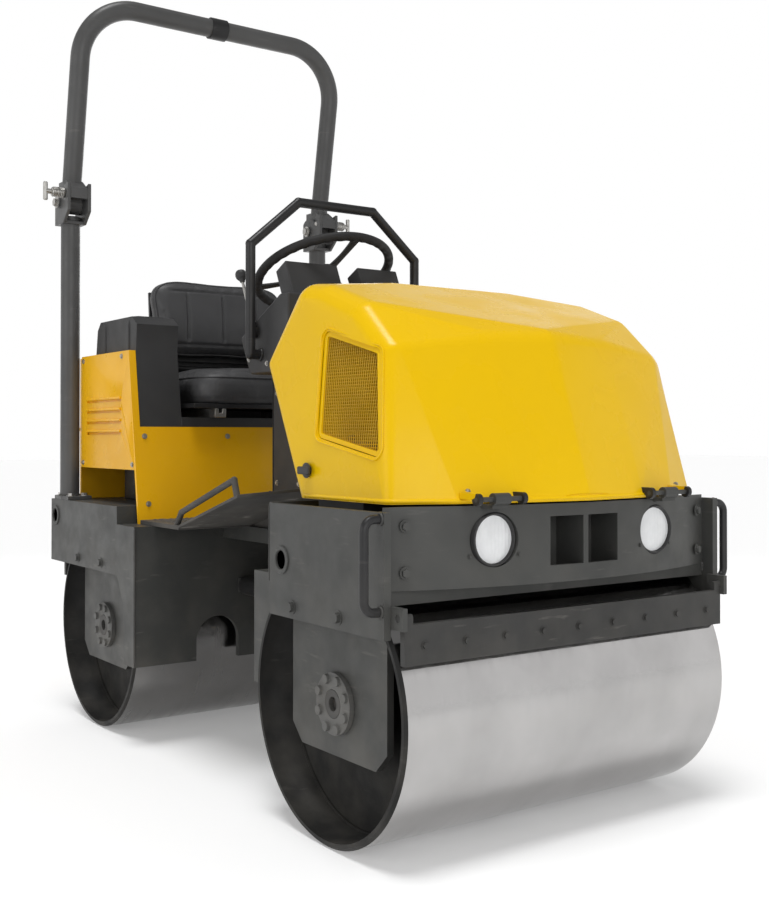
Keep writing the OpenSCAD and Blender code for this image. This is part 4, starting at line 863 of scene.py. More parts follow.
@dataclass
class Hood:
    """The tilting hood: shell, side windows with wire mesh, lower lip, hinge straps and latch."""

    shop: Workshop
    rear_x: float = 0.343
    front_x: float = 0.955
    half: float = 0.434
    low: float = 0.712
    top: float = 1.200
    window: tuple[tuple[float, float], ...] = ((0.575, 0.842), (0.806, 0.800), (0.766, 1.020), (0.575, 1.072))
    window_round: float = 0.016
    hinge_y: float = 0.240
    hinge_half: float = 0.057
    wire_pitch: float = 0.0068

    def balls(self) -> list[tuple[float, float, float, float]]:
        """The balls that the shell is stretched over.

        Returns:
            Their x, y, z and radius.
        """
        c, s, b = 0.026, 0.050, 0.054
        shares = ((0.258, 1.0, 0.0, c), (0.83, 1.0, 0.0, c), (0.91, 0.75, 0.0, c), (0.966, 0.46, 0.0, c),
                  (1.0, 0.0, 0.0, c), (0.0, 0.985, 0.605, c), (0.135, 0.955, 0.965, s), (0.135, 0.5, 1.0, s),
                  (0.39, 0.945, 0.95, s), (0.6, 0.935, 0.86, b), (0.745, 0.935, 0.7, b), (0.8, 0.5, 0.745, b),
                  (0.825, 0.0, 0.76, b))
        made = []
        for along, wide, high, radius in shares:
            x = self.rear_x + along * (self.front_x - self.rear_x) + (radius if along < 0.3 else -radius)
            z = self.low + high * (self.top - self.low) - (radius if high > 0.65 else 0.0)
            made.append((x, max(0.0, wide * self.half - radius), z, radius))
        return made

    def surface(self) -> BVHTree:
        """Makes the outer form.

        Returns:
            A tree that rays can be cast at.
        """
        bm = bmesh.new()
        for x, y, z, radius in self.balls():
            for side in SIDES:
                place = Matrix.Translation((x, side * y, z))
                bmesh.ops.create_uvsphere(bm, u_segments=40, v_segments=20, radius=radius, matrix=place)
        hull = bmesh.ops.convex_hull(bm, input=bm.verts)
        inner = {v for v in hull["geom_interior"] if isinstance(v, bmesh.types.BMVert)}
        bmesh.ops.delete(bm, geom=list(inner), context="VERTS")
        tree = BVHTree.FromBMesh(bm)
        bm.free()
        return tree

    def side_point(self, form: BVHTree, x: float, z: float, depth: float, side: float) -> Point:
        """A point on the hood's side.

        Args:
            form: The outer form.
            x: How far forward it lies.
            z: How high it lies.
            depth: How far inside the skin it lies.
            side: 1 for the left side and -1 for the right.

        Returns:
            The point.
        """
        hit = form.ray_cast(Vector((x, side * 0.7, z)), Vector((0.0, -side, 0.0)))[0]
        return (x, (hit.y if hit else side * self.half) - side * depth, z)

    def window_outline(self, inset: float, steps: int = 6) -> list[tuple[float, float]]:
        """The window's outline with round corners.

        Args:
            inset: How far it is drawn in.
            steps: Steps round each corner.

        Returns:
            Its points as x and z pairs.
        """
        centre = np.mean(np.array(self.window), axis=0)
        outline: list[tuple[float, float]] = []
        for i, corner in enumerate(self.window):
            here = Vector(corner)
            before = (Vector(self.window[i - 1]) - here).normalized()
            after = (Vector(self.window[(i + 1) % len(self.window)]) - here).normalized()
            heart = here + (before + after).normalized() * (self.window_round / math.sin(before.angle(after) / 2))
            first, last = (math.atan2(*(-(arm.orthogonal()) * (1 if arm.orthogonal().dot(other) > 0 else -1)).yx)
                           for arm, other in ((before, after), (after, before)))
            turn = (last - first + math.pi) % math.tau - math.pi
            radius = max(0.002, self.window_round - inset)
            for k in range(steps + 1):
                a = first + turn * k / steps
                outline.append((heart.x + radius * math.cos(a), heart.y + radius * math.sin(a)))
        if np.cross(np.array(outline[0]) - centre, np.array(outline[1]) - centre) < 0:
            outline.reverse()
        return outline

    def wire_paths(self, form: BVHTree) -> list[list[Point]]:
        """The wires of both windows' mesh.

        Args:
            form: The hood's outer form.

        Returns:
            Their paths, just inside the skin.
        """
        outline = self.window_outline(0.004)
        paths = []
        for axis, depth in ((0, 0.0085), (1, 0.0105)):
            low, high = (pick(p[axis] for p in outline) for pick in (min, max))
            for i in range(1, int((high - low) / self.wire_pitch) + 1):
                value = low + i * self.wire_pitch
                cuts = [a[1 - axis] + (value - a[axis]) / (b[axis] - a[axis]) * (b[1 - axis] - a[1 - axis])
                        for a, b in zip(outline, outline[1:] + outline[:1])
                        if (a[axis] - value) * (b[axis] - value) < 0]
                if len(cuts) < 2:
                    continue
                start, length = min(cuts), max(cuts) - min(cuts)
                steps = max(2, int(length / 0.028))
                line = [(value, start + length * k / steps) for k in range(steps + 1)]
                for side in SIDES:
                    paths.append([self.side_point(form, *(p if axis == 0 else p[::-1]), depth, side) for p in line])
        return paths

    def window_frame(self, form: BVHTree, side: float) -> Piece:
        """The flanged frame of one window, which holds its mesh.

        Args:
            form: The outer form.
            side: 1 for the left side and -1 for the right.

        Returns:
            The frame, without a body yet.
        """
        outer, inner = self.window_outline(0.0012), self.window_outline(0.0105)
        bm = bmesh.new()
        loops = [[bm.verts.new(self.side_point(form, x, z, depth, side)) for x, z in outline]
                 for outline, depth in ((outer, 0.0035), (inner, 0.0035), (inner, 0.0125), (outer, 0.0125))]
        skinned(bm, loops, True)
        return from_bmesh("window_frame", bm, Finishes.HOOD)

    def lip(self) -> Piece:
        """The rolled edge round the hood's open bottom.

        Returns:
            The edge's piece.
        """
        balls = self.balls()
        lowest = [(x, y, r) for x, y, z, r in balls if z == self.low]
        rear_y = next(y for x, y, z, _ in balls if z > self.low and x < 0.38)
        corners = [(x + (r - 0.003) * math.cos(a), y + (r - 0.003) * math.sin(a))
                   for x, y, r in lowest for a in (math.radians(-90 + 22.5 * k) for k in range(9))]
        corners.append((lowest[0][0] - lowest[0][2] * 0.35, rear_y))
        flat = [Vector((x, side * y)) for x, y in corners for side in SIDES]
        ring = [(flat[i].x, flat[i].y, self.low + 0.0055) for i in convex_hull_2d(flat)]
        return swept("hood_lip", ring, 0.0052, Finishes.HOOD, True, 10)

    def nose_plate(self, form: BVHTree) -> Piece:
        """A doubler behind the nose's lower edge, just inside the skin.

        Args:
            form: The hood's outer form.

        Returns:
            The plate.
        """
        bm = bmesh.new()
        rings = []
        for y in np.linspace(-0.120, 0.120, 17):
            skin = [form.ray_cast(Vector((1.3, y, z)), Vector((-1.0, 0.0, 0.0)))[0]
                    for z in np.linspace(self.low + 0.0015, self.low + 0.030, 5)]
            rings.append([bm.verts.new(p - Vector((depth, 0.0, 0.0)))
                          for row, depth in ((skin, 0.0012), (skin[::-1], 0.0030)) for p in row])
        skinned(bm, rings)
        return from_bmesh("hood_nose_plate", bm, Finishes.HOOD)

    def latch(self) -> Piece:
        """The quarter-turn latch: a round boss with a winged handle.

        Returns:
            The latch's handle.
        """
        x, y, z = 0.545, -0.434, 0.772
        boss = lathe("latch_boss", ((0.0, -0.030), (0.0108, -0.030), (0.0108, 0.004), (0.0165, 0.0045),
                                    (0.0165, 0.0065), (0.012, 0.0085), (0.0, 0.0085)), (x, y, z), (0.0, -1.0, 0.0),
                     Finishes.PLASTIC)
        form = slab((x - 0.0228, y - 0.0158, z - 0.0085), (x + 0.0228, y - 0.008, z + 0.0085))
        return joined("latch_handle", (boss, with_bevel(from_bmesh("latch_wing", form, Finishes.PLASTIC), 0.0032, 3)))

    def is_ear(self, corners: np.ndarray) -> bool:
        """Whether a face belongs to one of the four hinge ears."""
        near = (np.abs(np.abs(np.abs(corners[:, 1]) - self.hinge_y) - self.hinge_half) < 0.0056).all()
        return near and corners[:, 0].min() > 0.924 and corners[:, 2].max() < 0.7345

    def build(self) -> None:
        """Builds and dresses the hood, its windows, its hinges and its latch."""
        form = self.surface()
        shell = softened("hood", Finishes.HOOD, 0.0014, "hood", "hood_shell")
        repainted(shell, Finishes.PAINT, self.is_ear)
        frames = joined("hood_window_frames", [self.window_frame(form, side) for side in SIDES])
        settled(frames, Finishes.GRILLE_SHADED, "hood", "hood_grilles")
        # The window mesh takes the darker yellow that paints shade.
        self.shop.wires("hood_window_mesh", "hood", self.wire_paths(form), 0.00125, Finishes.GRILLE_SHADED)
        settled(self.lip(), Finishes.HOOD, "hood")
        settled(self.nose_plate(form), Finishes.HOOD, "hood")
        settled(self.latch(), Finishes.PLASTIC, "latch", "hood_latch")
        spots = [s for y in (0.183, 0.297) for s in both((0.920, y, 0.7385), (0.35, 0.0, 0.93))]
        self.shop.bolts("hood_hinge_bolts", "hood", spots, 0.0042, 0.003)
        beads = [[self.side_point(form, x, z, -0.0008, side) for x, z in self.window_outline(-0.006)] for side in SIDES]
        self.shop.wires("hood_window_beads", "hood", beads, 0.0024, Finishes.HOOD, True, 8)


@dataclass
class Bumper:
    """The front bumper with its lamps, hinge knuckles and lashing loops."""

    shop: Workshop
    lamp: Point = (0.9197, 0.229, 0.640)
    lens_r: float = 0.0478

    def lens(self, side: float) -> Piece:
        """One headlight's domed lens with upright flutes.

        Args:
            side: 1 for the left lamp and -1 for the right.

        Returns:
            The lens.
        """
        x0, y0, z0 = self.lamp[0], side * self.lamp[1], self.lamp[2]
        steps, sides = 18, 96
        bm = bmesh.new()
        rings = [[bm.verts.new((x0 - 0.0015, y0, z0))]]
        for share in (k / steps for k in range(1, steps + 1)):
            ring = []
            for a in (math.tau * i / sides for i in range(sides)):
                y, z = self.lens_r * share * math.cos(a), self.lens_r * share * math.sin(a)
                flute = 0.0007 * abs(math.sin(y * 330.0)) if share < 1.0 else 0.0
                ring.append(bm.verts.new((x0 - 0.0015 - 0.0045 * share ** 2 - flute, y0 + y, z0 + z)))
            rings.append(ring)
        rings.append([bm.verts.new((x0 - 0.0075, v.co.y, v.co.z)) for v in rings[-1]])
        skinned(bm, rings)
        return from_bmesh("lens", bm, Finishes.GLASS, 50.0)

    def housing(self, side: float) -> Piece:
        """One lamp's pot with a rolled bezel round its lens.

        Args:
            side: 1 for the left and -1 for the right.

        Returns:
            The pot.
        """
        profile = ((0.0, -0.046), (0.046, -0.046), (0.0528, -0.036), (0.0535, -0.004), (0.0532, 0.0002),
                   (0.0515, 0.0016), (0.0495, 0.0012), (0.0484, -0.001), (0.0482, -0.038), (0.0, -0.042))
        return lathe("pot", profile, (self.lamp[0], side * self.lamp[1], self.lamp[2]), AHEAD, Finishes.PLASTIC, 72)

    def build(self) -> None:
        """Builds and dresses the bumper, lamps, loops and the fixed half of the hinges."""
        softened("front_bumper", Finishes.FRAME, 0.0022, "front", "bumper_beam")
        for name, make, finish, node in (("headlight_glass", self.lens, Finishes.GLASS, "headlight_lenses"),
                                         ("headlight_pots", self.housing, Finishes.PLASTIC, "headlight_housings")):
            settled(joined(name, [make(side) for side in SIDES]), finish, "front", node)
        softened("tie_down_loops", Finishes.PAINT, 0.0, "front", "lashing_loops")
        spots = []
        for a, back in zip((math.radians(90 + 120 * k) for k in range(3)), (0.0, 0.010, -0.010)):
            spots += both((self.lamp[0] + 0.0004 + back, self.lamp[1] + 0.0635 * math.cos(a),
                           self.lamp[2] + 0.0635 * math.sin(a)), (1.0, 0.16, 0.0))
        self.shop.bolts("lamp_screws", "front", spots, 0.0034, 0.0028, Finishes.FRAME)
        ends = [s for z in (0.582, 0.672) for s in both((0.8778, 0.4155, z), (1.0, 0.34, 0.0))]
        self.shop.bolts("bumper_bolts", "front", ends, 0.0085, 0.007, Finishes.FRAME)
        rings = [circle((0.876, side * 0.4755, z), 0.0105, LEFT, 18) for z in (0.512, 0.688) for side in SIDES]
        self.shop.wires("loop_welds", "front", rings, 0.0026, Finishes.WELD, True, 8)


@dataclass
class Frames:
    """Front and rear frame plates, the centre joint, scrapers, spray bars and their fasteners."""

    shop: Workshop
    fork_out: float = 0.474
    arm_out: float = 0.418

    def weld_paths(self, side: float) -> list[list[Point]]:
        """The seams of one frame that show from outside.

        Args:
            side: 1 for the front frame and -1 for the rear.

        Returns:
            The seams' paths.
        """
        paths = []
        ends = [side * (AXLE_X + shift) for shift in (-0.180, 0.180)]
        for s in SIDES:
            paths += [[(x, s * y, 0.4575) for x in ends] for y in (self.arm_out + 0.0015, 0.4505)]
        rear = ((-0.302, 0.4725, 0.235, 0.590), (-0.300, 0.0635, 0.290, 0.490))
        front = ((0.857, 0.457, 0.530, 0.545), (0.4195, 0.4575, 0.530, 0.690))
        for s in SIDES:
            paths += [[(x, s * y, low), (x, s * y, high)] for x, y, low, high in (rear if side < 0 else front)]
        if side < 0:
            paths += [[(-0.3005, -0.060, z), (-0.3005, 0.060, z)] for z in (0.276, 0.302, 0.480, 0.506)]
        return paths

    def hole_rims(self, x: float, z: float, body: str) -> None:
        """Lays thick rims round a body's pair of tie-down holes.

        Args:
            x: How far forward the holes lie.
            z: How high they lie.
            body: The body.
        """
        profile = ((0.0205, -0.001), (0.031, -0.001), (0.031, 0.0022), (0.0295, 0.0038), (0.022, 0.0038),
                   (0.0205, 0.0022), (0.0205, -0.001))
        rims = [lathe("rim", profile, (x, side * self.fork_out, z), (0.0, side, 0.0), Finishes.FRAME, 40)
                for side in SIDES]
        settled(joined(f"tie_down_rims_{body}", rims), Finishes.FRAME, body)

    def build(self) -> None:
        """Builds and dresses both frames and the centre joint."""
        for name in ("front", "rear"):
            softened(f"{name}_frame", Finishes.FRAME, 0.0018, name, f"{name}_frame_plates")
        for name, side in (("front", 1.0), ("rear", -1.0)):
            self.shop.welds(f"{name}_frame_welds", name, self.weld_paths(side))
        self.hole_rims(0.500, 0.580, "front")
        self.hole_rims(-0.920, 0.600, "rear")
        for name, side in (("front", 1.0), ("rear", -1.0)):
            body = f"{name}_scraper"
            # The scrapers and their bolts take the darker grey that paints shade.
            softened(body, Finishes.SHADE, 0.0012, body, f"{name}_scraper_bar")
            spots = [((side * 0.9194, y, 0.448), (side, 0.0, 0.0)) for y in np.linspace(-0.40, 0.40, 9)]
            self.shop.bolts(f"{name}_scraper_bolts", body, spots, 0.0065, 0.0045, Finishes.SHADE)
        for name in ("front", "rear"):
            softened(f"{name}_spray_bar", Finishes.PLASTIC, 0.0, name, f"{name}_spray_pipe")
            softened(f"{name}_bearing_housing", Finishes.HUB, 0.0012, name)
            softened(f"{name}_drive_motor", Finishes.IRON, 0.0012, name)
            softened(f"{name}_drum_hubs", Finishes.IRON, 0.0010, f"{name}_drum")
        softened("articulation_yoke", Finishes.IRON, 0.0012, "yoke")
        softened("articulation_pin", Finishes.ZINC, 0.0012, "rear")
        softened("steer_cylinder", Finishes.PAINT, 0.0010, "rear")
        softened("steer_rod", Finishes.CHROME, 0.0008, "steer_rod")
        out = self.fork_out + 0.0004
        front = [s for x in (0.545, 0.727) for s in both((x, out, 0.4835), LEFT)]
        rear = [((-x, side * out, 0.4835), (0.0, side, 0.0)) for x in (0.545, 0.727) for side in SIDES]
        self.shop.bolts("front_arm_bolts", "front", front, 0.0105, 0.008, Finishes.FRAME)
        self.shop.bolts("rear_arm_bolts", "rear", rear, 0.0105, 0.008, Finishes.FRAME)


@dataclass
class Drums:
    """Both drums with the welded seam of their end plates."""

    shop: Workshop
    seam_y: float = 0.361
    seam_r: float = 0.275

    def is_end(self, side: float, corners: np.ndarray) -> bool:
        """Whether a face lies in a drum's end, off its rolled face: the part that gets the dark paint and painted
        shade.
        """
        return np.hypot(corners[:, 0] - side * AXLE_X, corners[:, 2] - DRUM_R).min() < DRUM_R - 0.001

    def build(self) -> None:
        """Builds and dresses the two drums and the exciter."""
        # The rear drum's darker steel paints shade.
        for name, side, finish in (("front", 1.0, Finishes.FRONT_STEEL), ("rear", -1.0, Finishes.REAR_STEEL_SHADED)):
            shell = softened(f"{name}_drum", finish, 0.0, f"{name}_drum", f"{name}_drum_shell")
            # The ends and insides, and the end seams below, take the dark paint that partly paints shade.
            repainted(shell, Finishes.DRUM_END_SHADED, lambda corners, side=side: self.is_end(side, corners))
            rings = [circle((side * AXLE_X, s * self.seam_y, DRUM_R), self.seam_r, LEFT, 120, True) for s in SIDES]
            self.shop.welds(f"{name}_drum_seams", f"{name}_drum", rings, 0.005, Finishes.DRUM_END_SHADED)
        softened("exciter_shaft", Finishes.IRON, 0.0, "exciter")
        softened("exciter_motor", Finishes.IRON, 0.0012, "front")


@dataclass
class EngineBay:
    """What the hood covers: engine, cooler, exhaust, filter, pump, tank and battery."""

    shop: Workshop
    crank_z: float = 0.780
    canister_z: float = 0.985
    band_r: float = 0.0402

    def belt(self) -> Piece:
        """A ribbed belt that sits in the crank pulley's groove.

        Returns:
            The belt.
        """
        start = 0.766
        ribs = [(0.766, 0.0625), (0.768, 0.0645)]
        for k in range(4):
            ribs += [(0.7688 + 0.0024 * k, 0.0668), (0.7700 + 0.0024 * k, 0.0656)]
        ribs += [(0.7785, 0.0645), (0.7800, 0.0625)]
        profile = [(radius, x - start) for x, radius in ribs] + [(0.0610, 0.014), (0.0610, 0.0), (0.0625, 0.0)]
        return lathe("engine_belt", profile, (start, 0.0, self.crank_z), AHEAD, Finishes.RUBBER, 64, 40.0)

    def build(self) -> None:
        """Builds and dresses the engine bay."""
        for node, finish, width in (("engine_block", Finishes.IRON, 0.0018), ("cooler", Finishes.CORE, 0.0012),
                                    ("muffler", Finishes.ZINC, 0.0015), ("air_filter", Finishes.PLASTIC, 0.0015),
                                    ("hydraulic_pump", Finishes.HUB, 0.0012), ("fuel_tank", Finishes.PLASTIC, 0.007),
                                    ("battery", Finishes.PLASTIC, 0.0025)):
            softened(node, finish, width, "front")
        fins = [[(0.8325, y, z) for y in (-0.182, 0.182)] for z in np.arange(0.668, 0.915, 0.0075)]
        self.shop.wires("cooler_fins", "front", fins, 0.0016, Finishes.CORE, False, 4)
        tubes = [[(0.8338, y, z) for z in (0.655, 0.922)] for y in np.arange(-0.18, 0.181, 0.03)]
        self.shop.wires("cooler_tubes", "front", tubes, 0.0022, Finishes.CORE, False, 6)
        bands = [circle((x, y, self.canister_z), self.band_r, AHEAD, 40) for y in (-0.075, 0.075)
                 for x in (0.652, 0.742)]
        self.shop.wires("canister_bands", "front", bands, 0.0022, Finishes.ZINC, True, 8)
        head = [((x, y, 0.9404), UP) for x in (0.592, 0.662, 0.735) for y in (-0.070, 0.0, 0.070)
                if not (abs(x - 0.6975) < 0.045 and abs(y) > 0.02)]
        side = [((x, s * 0.130 * 1.003, z), (0.0, s, 0.0)) for x in (0.580, 0.662, 0.745)
                for s in SIDES for z in (0.700, 0.830)]
        self.shop.bolts("engine_bolts", "front", head + side, 0.0065, 0.005)
        settled(self.belt(), Finishes.RUBBER, "front")


@dataclass
class Body:
    """Rear body panels, water tank, its cap, the oil tank and the rear lights."""

    shop: Workshop
    half: float = 0.422

    def cap(self) -> Piece:
        """The tank's screw cap with grip ribs round its edge.

        Returns:
            The cap.
        """
        x, y, z = -0.610, 0.336, 1.200
        sides, ribs, rib_deep = 144, 24, 0.0016
        bm = bmesh.new()
        rings = []
        for radius, height, rib in ((0.0, 0.026, 0.0), (0.030, 0.026, 0.0), (0.0335, 0.0245, 0.0),
                                    (0.041, 0.0245, 0.2), (0.043, 0.022, 1.0), (0.0432, 0.0015, 1.0),
                                    (0.040, 0.0004, 0.0), (0.0188, 0.0004, 0.0), (0.0188, -0.0125, 0.0),
                                    (0.0, -0.0125, 0.0)):
            ring = []
            for a in (math.tau * k / sides for k in range(sides if radius > 0.0 else 1)):
                r = radius - rib_deep * rib * (0.5 + 0.5 * math.cos(ribs * a))
                ring.append(bm.verts.new((x + r * math.cos(a), y + r * math.sin(a), z + height)))
            rings.append(ring)
        skinned(bm, rings)
        return from_bmesh("water_cap", bm, Finishes.PLASTIC, 28.0)

    def lights(self) -> Piece:
        """Both rear lights: ribbed red lenses with rounded edges.

        Returns:
            The lenses in one piece.
        """
        pieces = []
        for y in (side * 0.330 for side in SIDES):
            box = slab((-0.943, y - 0.045, 1.000), (-0.925, y + 0.045, 1.060))
            pieces.append(with_bevel(from_bmesh("lens", box, Finishes.RED_LENS), 0.004, 3))
            pieces += [swept("rib", [(-0.9432, y - 0.036 + 0.009 * k, z) for z in (1.007, 1.053)], 0.0014,
                             Finishes.RED_LENS, False, 8) for k in range(9)]
        return joined("rear_light_lenses", pieces)

    def build(self) -> None:
        """Builds and dresses the body, the tanks and the lights."""
        softened("rear_body", Finishes.PANEL, 0.0028, "rear", "body_panels")
        louvres = [[(x, side * (self.half + 0.0004), 0.8605 + 0.032 * i) for x in np.linspace(-0.792, -0.528, 8)]
                   for i in range(4) for side in SIDES]
        self.shop.wires("body_louvres", "rear", louvres, 0.0042, Finishes.PANEL, False, 8)
        softened("water_tank", Finishes.PLASTIC, 0.0085, "rear", "water_tank_shell")
        settled(self.cap(), Finishes.PLASTIC, "tank_cap", "tank_cap")
        softened("hydraulic_tank", Finishes.PAINT, 0.005, "rear")
        settled(self.lights(), Finishes.RED_LENS, "rear", "rear_lights")
        spots = [s for x, z in ((-0.825, 0.765), (-0.825, 1.075), (-0.520, 1.075), (-0.440, 0.765))
                 for s in both((x, self.half + 0.0004, z), LEFT)]
        spots += [s for z in (0.655, 0.845) for y in (0.13, 0.39)
                  for s in both((-0.3925 - 0.076 * (z - 0.600) / 0.490, y, z), (1.0, 0.0, 0.155))]
        spots += [s for y in (0.12, 0.375) for z in (0.680, 0.860, 1.075)
                  for s in both((-0.9254, y, z), (-1.0, 0.0, 0.0))]
        self.shop.bolts("body_screws", "rear", spots, 0.0055, 0.0038)
        outline = [(0.2725, z) for z in np.linspace(0.91, 1.165, 6)]
        outline += [(0.2745, 1.180), (0.282, 1.1885), (0.300, 1.1905), (0.372, 1.1905), (0.390, 1.1885),
                    (0.3975, 1.180), (0.4005, 1.165), (0.4005, 1.095)]
        ribs = [[(x, side * y, z) for y, z in outline] for side in SIDES for x in (-0.700, -0.520)]
        self.shop.wires("tank_ribs", "rear", ribs, 0.0035, Finishes.PLASTIC, False, 8)


@dataclass
class Platform:
    """The operator's floor with its tread pattern."""

    shop: Workshop
    top: float = 0.6122
    toe_x: float = -0.140
    toe_slope: float = 0.283
    pitch: float = 0.024

    def tread_recipe(self) -> Recipe:
        """Raised lozenges, one on each point, each turned by the point's own angles.

        Returns:
            The recipe.
        """
        made = Recipe("tread", Length=0.013, Width=0.0042, Height=0.0022)
        ball = made.step("GeometryNodeMeshUVSphere", Segments=8, Rings=4, Radius=1.0)
        size = made.step("ShaderNodeCombineXYZ", X=made.given("Length"), Y=made.given("Width"), Z=made.given("Height"))
        spin = made.step("GeometryNodeInputNamedAttribute", {"data_type": "FLOAT_VECTOR"}, Name="facing")
        placed = made.step("GeometryNodeInstanceOnPoints", Points=made.given("Geometry"), Instance=ball.outputs["Mesh"],
                           Rotation=spin.outputs["Attribute"], Scale=size.outputs[0])
        return made.finish(placed.outputs["Instances"])

    def build(self) -> None:
        """Builds and dresses the floor plate and the sloping toe board."""
        softened("platform_floor", Finishes.FLOOR, 0.0012, "rear", "floor_plate")
        places: list[Point] = []
        turns: list[Point] = []
        for i in range(25):
            for j in range(-16, 17):
                x, y = -0.372 + i * self.pitch, j * self.pitch
                past_edge = x > 0.225 or (x > 0.180 and abs(y) > 0.405 - (x - 0.180) * 2.6)
                if past_edge or (abs(y) < 0.175 and -0.105 < x < 0.080):
                    continue
                slope = self.toe_slope if x > self.toe_x else 0.0
                places.append((x, y, self.top + slope * (x - self.toe_x)))
                turns.append((0.0, -math.atan(slope), math.radians(45 if (i + j) % 2 else -45)))
        self.tread_recipe().run("floor_tread", point_mesh("floor_tread", places, turns), Finishes.FLOOR, "rear")
        spots = [s for x in (-0.35, -0.17) for s in both((x, 0.195, 0.6125), UP)]
        self.shop.bolts("floor_bolts", "rear", spots, 0.008, 0.005)


@dataclass
class RollBar:
    """The posts, the folding hoop, its lock pins and the lamp socket."""

    shop: Workshop
    post_x: float = -0.874
    post_y: float = 0.447
    fold_z: float = 1.567

    def lock_pin(self, side: float) -> Piece:
        """A lock pin with its collar, spring and cross handle.

        Args:
            side: 1 for the left post and -1 for the right.

        Returns:
            The pin.
        """
        x, z = self.post_x + 0.050, self.fold_z + 0.022
        pin = lathe("pin", ((0.0, -0.037), (0.0065, -0.037), (0.008, -0.0355), (0.008, 0.0378), (0.0135, 0.0384),
                            (0.014, 0.040), (0.014, 0.0755), (0.0125, 0.077), (0.008, 0.0772), (0.008, 0.096),
                            (0.0, 0.096)), (x, side * self.post_y, z), (0.0, side, 0.0), Finishes.ZINC, 32)
        bar = lathe("bar", ((0.0, -0.028), (0.0045, -0.028), (0.007, -0.0255), (0.007, 0.0255), (0.0045, 0.028),
                            (0.0, 0.028)), (x, side * (self.post_y + 0.096), z), UP, Finishes.ZINC, 28)
        turns = [(x + 0.0148 * math.cos(math.tau * t), side * (self.post_y + 0.041 + 0.0048 * t),
                  z + 0.0148 * math.sin(math.tau * t)) for t in np.linspace(0.0, 7.0, 126)]
        return joined("lock_pin_" + ("left" if side > 0 else "right"),
                      (pin, bar, swept("coil", turns, 0.0012, Finishes.ZINC, False, 6)))

    def build(self) -> None:
        """Builds and dresses the roll bar."""
        softened("rops_posts", Finishes.ROPS, 0.0016, "rear", "rops_post_tubes")
        softened("rops_hoop", Finishes.ROPS, 0.0012, "roll_hoop", "rops_hoop_tube")
        softened("beacon_socket", Finishes.PAINT, 0.0010, "roll_hoop")
        for side, name in ((1.0, "left"), (-1.0, "right")):
            settled(self.lock_pin(side), Finishes.ZINC, f"lock_pin_{name}", f"rops_lock_pin_{name}")
        feet = [s for x in (-0.044, 0.044) for y in (-0.030, 0.012)
                for s in both((self.post_x + x, self.post_y + y, 0.6623), UP)]
        self.shop.bolts("rops_foot_bolts", "rear", feet, 0.0095, 0.0075)
        pivots = [s for out in (1.0, -1.0)
                  for s in both((self.post_x, self.post_y + out * 0.0442, self.fold_z), (0.0, out, 0.0))]
        self.shop.bolts("rops_pivot_nuts", "rear", pivots, 0.0125, 0.009)
        feet_seams = [circle((self.post_x, side * self.post_y, 0.6635), 0.0298, UP, 48, True) for side in SIDES]
        self.shop.welds("rops_welds", "rear", feet_seams)


